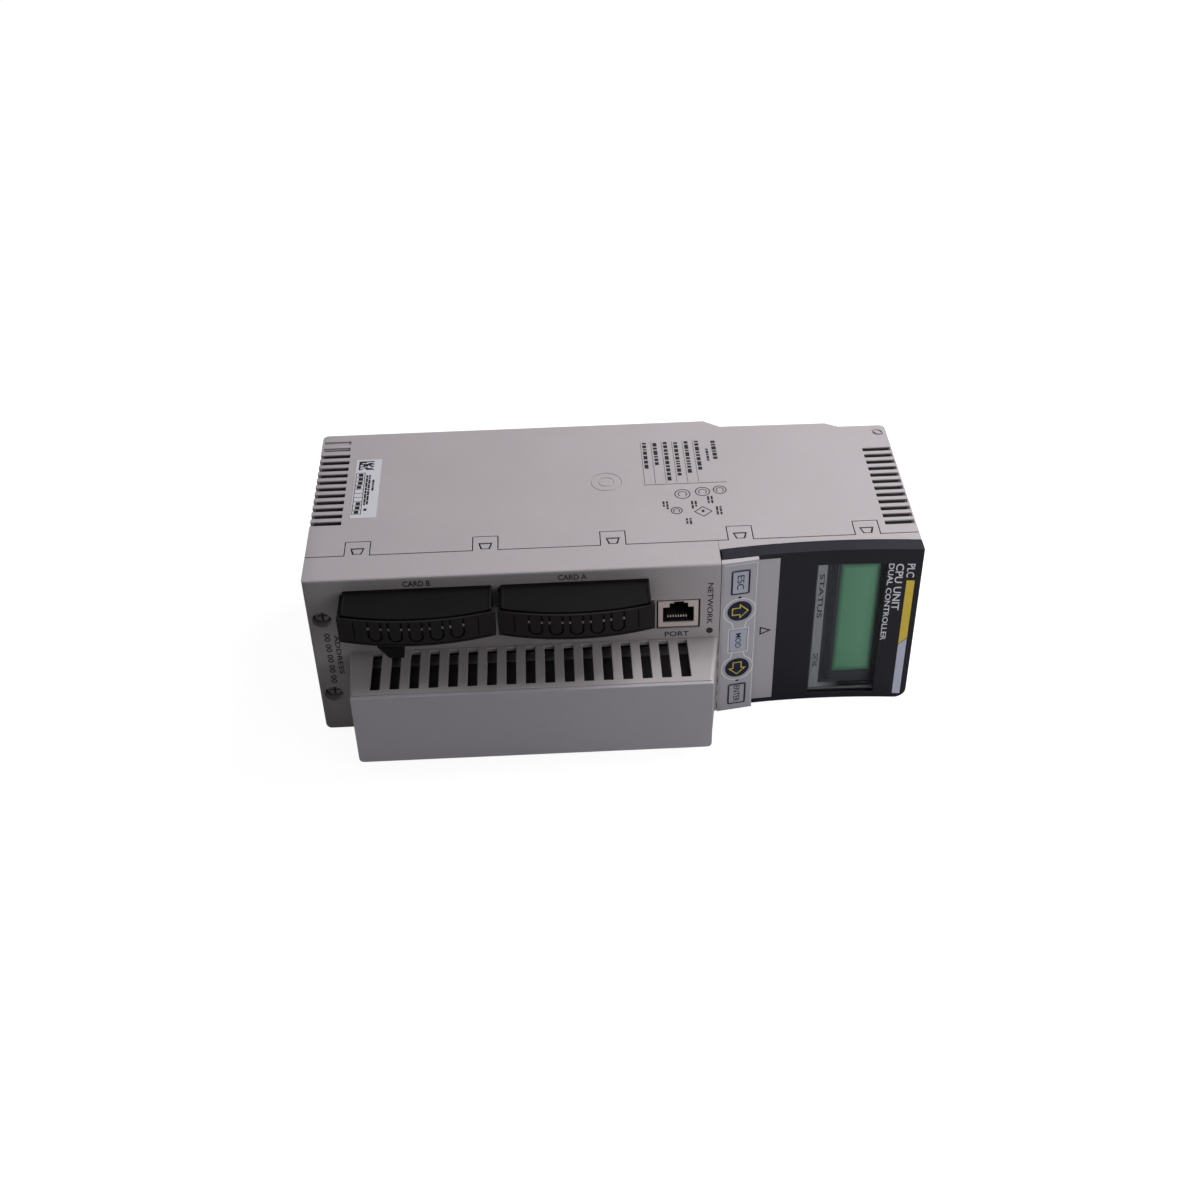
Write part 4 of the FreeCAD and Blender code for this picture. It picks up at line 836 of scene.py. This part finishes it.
def stage_plane(name, corners, upright):
    """Pale floor that shows only while the camera is above it and rolled the matching way."""
    g = Graph(name)
    rolled = camera_height(g, "VECTOR", (1, 0, 0))
    if upright:
        above = g.sums("GREATER_THAN", camera_height(g, "POINT", (0, 0, 0)), corners[0][2])
        shown = g.sums("MULTIPLY", above, g.sums("LESS_THAN", rolled, 0.5))
    else:
        shown = g.sums("GREATER_THAN", rolled, 0.5)
    seen = g.tree.nodes.new("ShaderNodeLightPath").outputs["Is Camera Ray"]
    cloud = g.noise(9.0, 3.0)
    pale = g.add("ShaderNodeBsdfDiffuse", Color=g.blend(cloud, (0.30, 0.30, 0.30), (0.32, 0.32, 0.32)))
    light = g.add("ShaderNodeEmission", Color=(1, 1, 1, 1), Strength=g.sums("MULTIPLY", seen, 0.92))
    lit = g.add("ShaderNodeAddShader", _0=pale.outputs[0], _1=light.outputs[0])
    clear = g.add("ShaderNodeBsdfTransparent")
    mixed = g.add("ShaderNodeMixShader", _0=shown, _1=clear.outputs[0], _2=lit.outputs[0])
    g.tree.links.new(mixed.outputs[0], g.output.inputs["Surface"])
    mesh = bpy.data.meshes.new(name)
    mesh.from_pydata(corners, [], [(0, 1, 2, 3)])
    mesh.materials.append(g.material)
    plane = bpy.data.objects.new(name, mesh)
    bpy.context.scene.collection.objects.link(plane)


low, high = cad_box
FLOOR_HALF = 6.0
FLOOR_GAP = 0.0004
square = [(a * FLOOR_HALF, b * FLOOR_HALF) for a, b in ((-1, -1), (1, -1), (1, 1), (-1, 1))]
stage_plane("lying_floor", [(high.x + FLOOR_GAP, a, b) for a, b in square], False)
stage_plane("standing_floor", [(a, b, low.z - FLOOR_GAP) for a, b in square], True)

world = bpy.data.worlds.new("studio")
bpy.context.scene.world = world
world.use_nodes = True
tree = world.node_tree
tree.nodes.clear()
seen = tree.nodes.new("ShaderNodeLightPath").outputs["Is Camera Ray"]
white = tree.nodes.new("ShaderNodeBackground")
white.inputs["Color"].default_value = (1, 1, 1, 1)
soft = tree.nodes.new("ShaderNodeBackground")
soft.inputs["Color"].default_value = (0.97, 0.97, 1.0, 1)
soft.inputs["Strength"].default_value = 0.21
pick = tree.nodes.new("ShaderNodeMixShader")
tree.links.new(seen, pick.inputs[0])
tree.links.new(soft.outputs[0], pick.inputs[1])
tree.links.new(white.outputs[0], pick.inputs[2])
tree.links.new(pick.outputs[0], tree.nodes.new("ShaderNodeOutputWorld").inputs["Surface"])


def lamp(name, spot, aim, size, power, colour):
    """Square soft lamp; size in metres, power in watts."""
    light = bpy.data.lights.new(name, "AREA")
    light.shape = "RECTANGLE"
    light.size, light.size_y = size, size
    light.energy = power
    light.color = colour
    holder = bpy.data.objects.new(name, light)
    bpy.context.scene.collection.objects.link(holder)
    holder.location = spot
    holder.rotation_mode = "QUATERNION"
    holder.rotation_quaternion = (Vector(aim) - Vector(spot)).to_track_quat("-Z", "Y")
    return light


MODULE_MIDDLE = (0.0, -0.05, 0.12)
DISPLAY_MIDDLE = (0.0, -0.10, 0.212)
WHITE = (1, 1, 1)
WARM_WHITE = (1.0, 0.985, 0.985)
lamp("key_light", (-0.80, 0.28, 0.52), MODULE_MIDDLE, 0.35, 2.4, WARM_WHITE)
lamp("high_key", (-0.70, 0.10, 0.85), MODULE_MIDDLE, 0.40, 5.3, WARM_WHITE)
lamp("front_fill", (-0.30, -0.60, 0.60), MODULE_MIDDLE, 0.35, 0.95, WHITE)
display_fill = lamp("display_fill", (-0.28, -0.42, 0.36), DISPLAY_MIDDLE, 0.12, 0.014, WHITE)
display_fill.spread = math.radians(40)
# The floors hide these three from the module's seen side while it lies down.
lamp("right_key", (0.75, -0.55, 0.62), MODULE_MIDDLE, 0.50, 7.0, WHITE)
lamp("rear_fill", (0.55, 0.80, 0.50), MODULE_MIDDLE, 0.50, 5.0, WHITE)
lamp("low_fill", (0.25, -0.45, -0.70), MODULE_MIDDLE, 0.50, 4.0, WHITE)

# ---------------------------------------------------------------- camera
# The module lies on its right-hand side in front of the camera, so the camera is rolled.
CAMERA_RIGHT = Vector((0.01852699, -0.04503539, 0.99881358))
CAMERA_UP = Vector((-0.77190596, 0.63428644, 0.04291735))
CAMERA_PLACE = Vector((-0.43199, -0.59873, 0.10387 - SCREW_LINE * MM))
SENSOR_WIDTH = 36.0
FOCAL_LENGTH = 47.525
camera = bpy.data.objects.new("camera", bpy.data.cameras.new("camera"))
bpy.context.scene.collection.objects.link(camera)
turned = Matrix((CAMERA_RIGHT, CAMERA_UP, CAMERA_RIGHT.cross(CAMERA_UP))).transposed().to_4x4()
camera.matrix_world = Matrix.Translation(CAMERA_PLACE) @ turned
camera.data.sensor_width = SENSOR_WIDTH
camera.data.lens = FOCAL_LENGTH
camera.data.clip_start = 0.01
camera.data.clip_end = 50.0
bpy.context.scene.camera = camera
bpy.context.scene.view_settings.view_transform = "Standard"
bpy.context.scene.view_settings.look = "None"
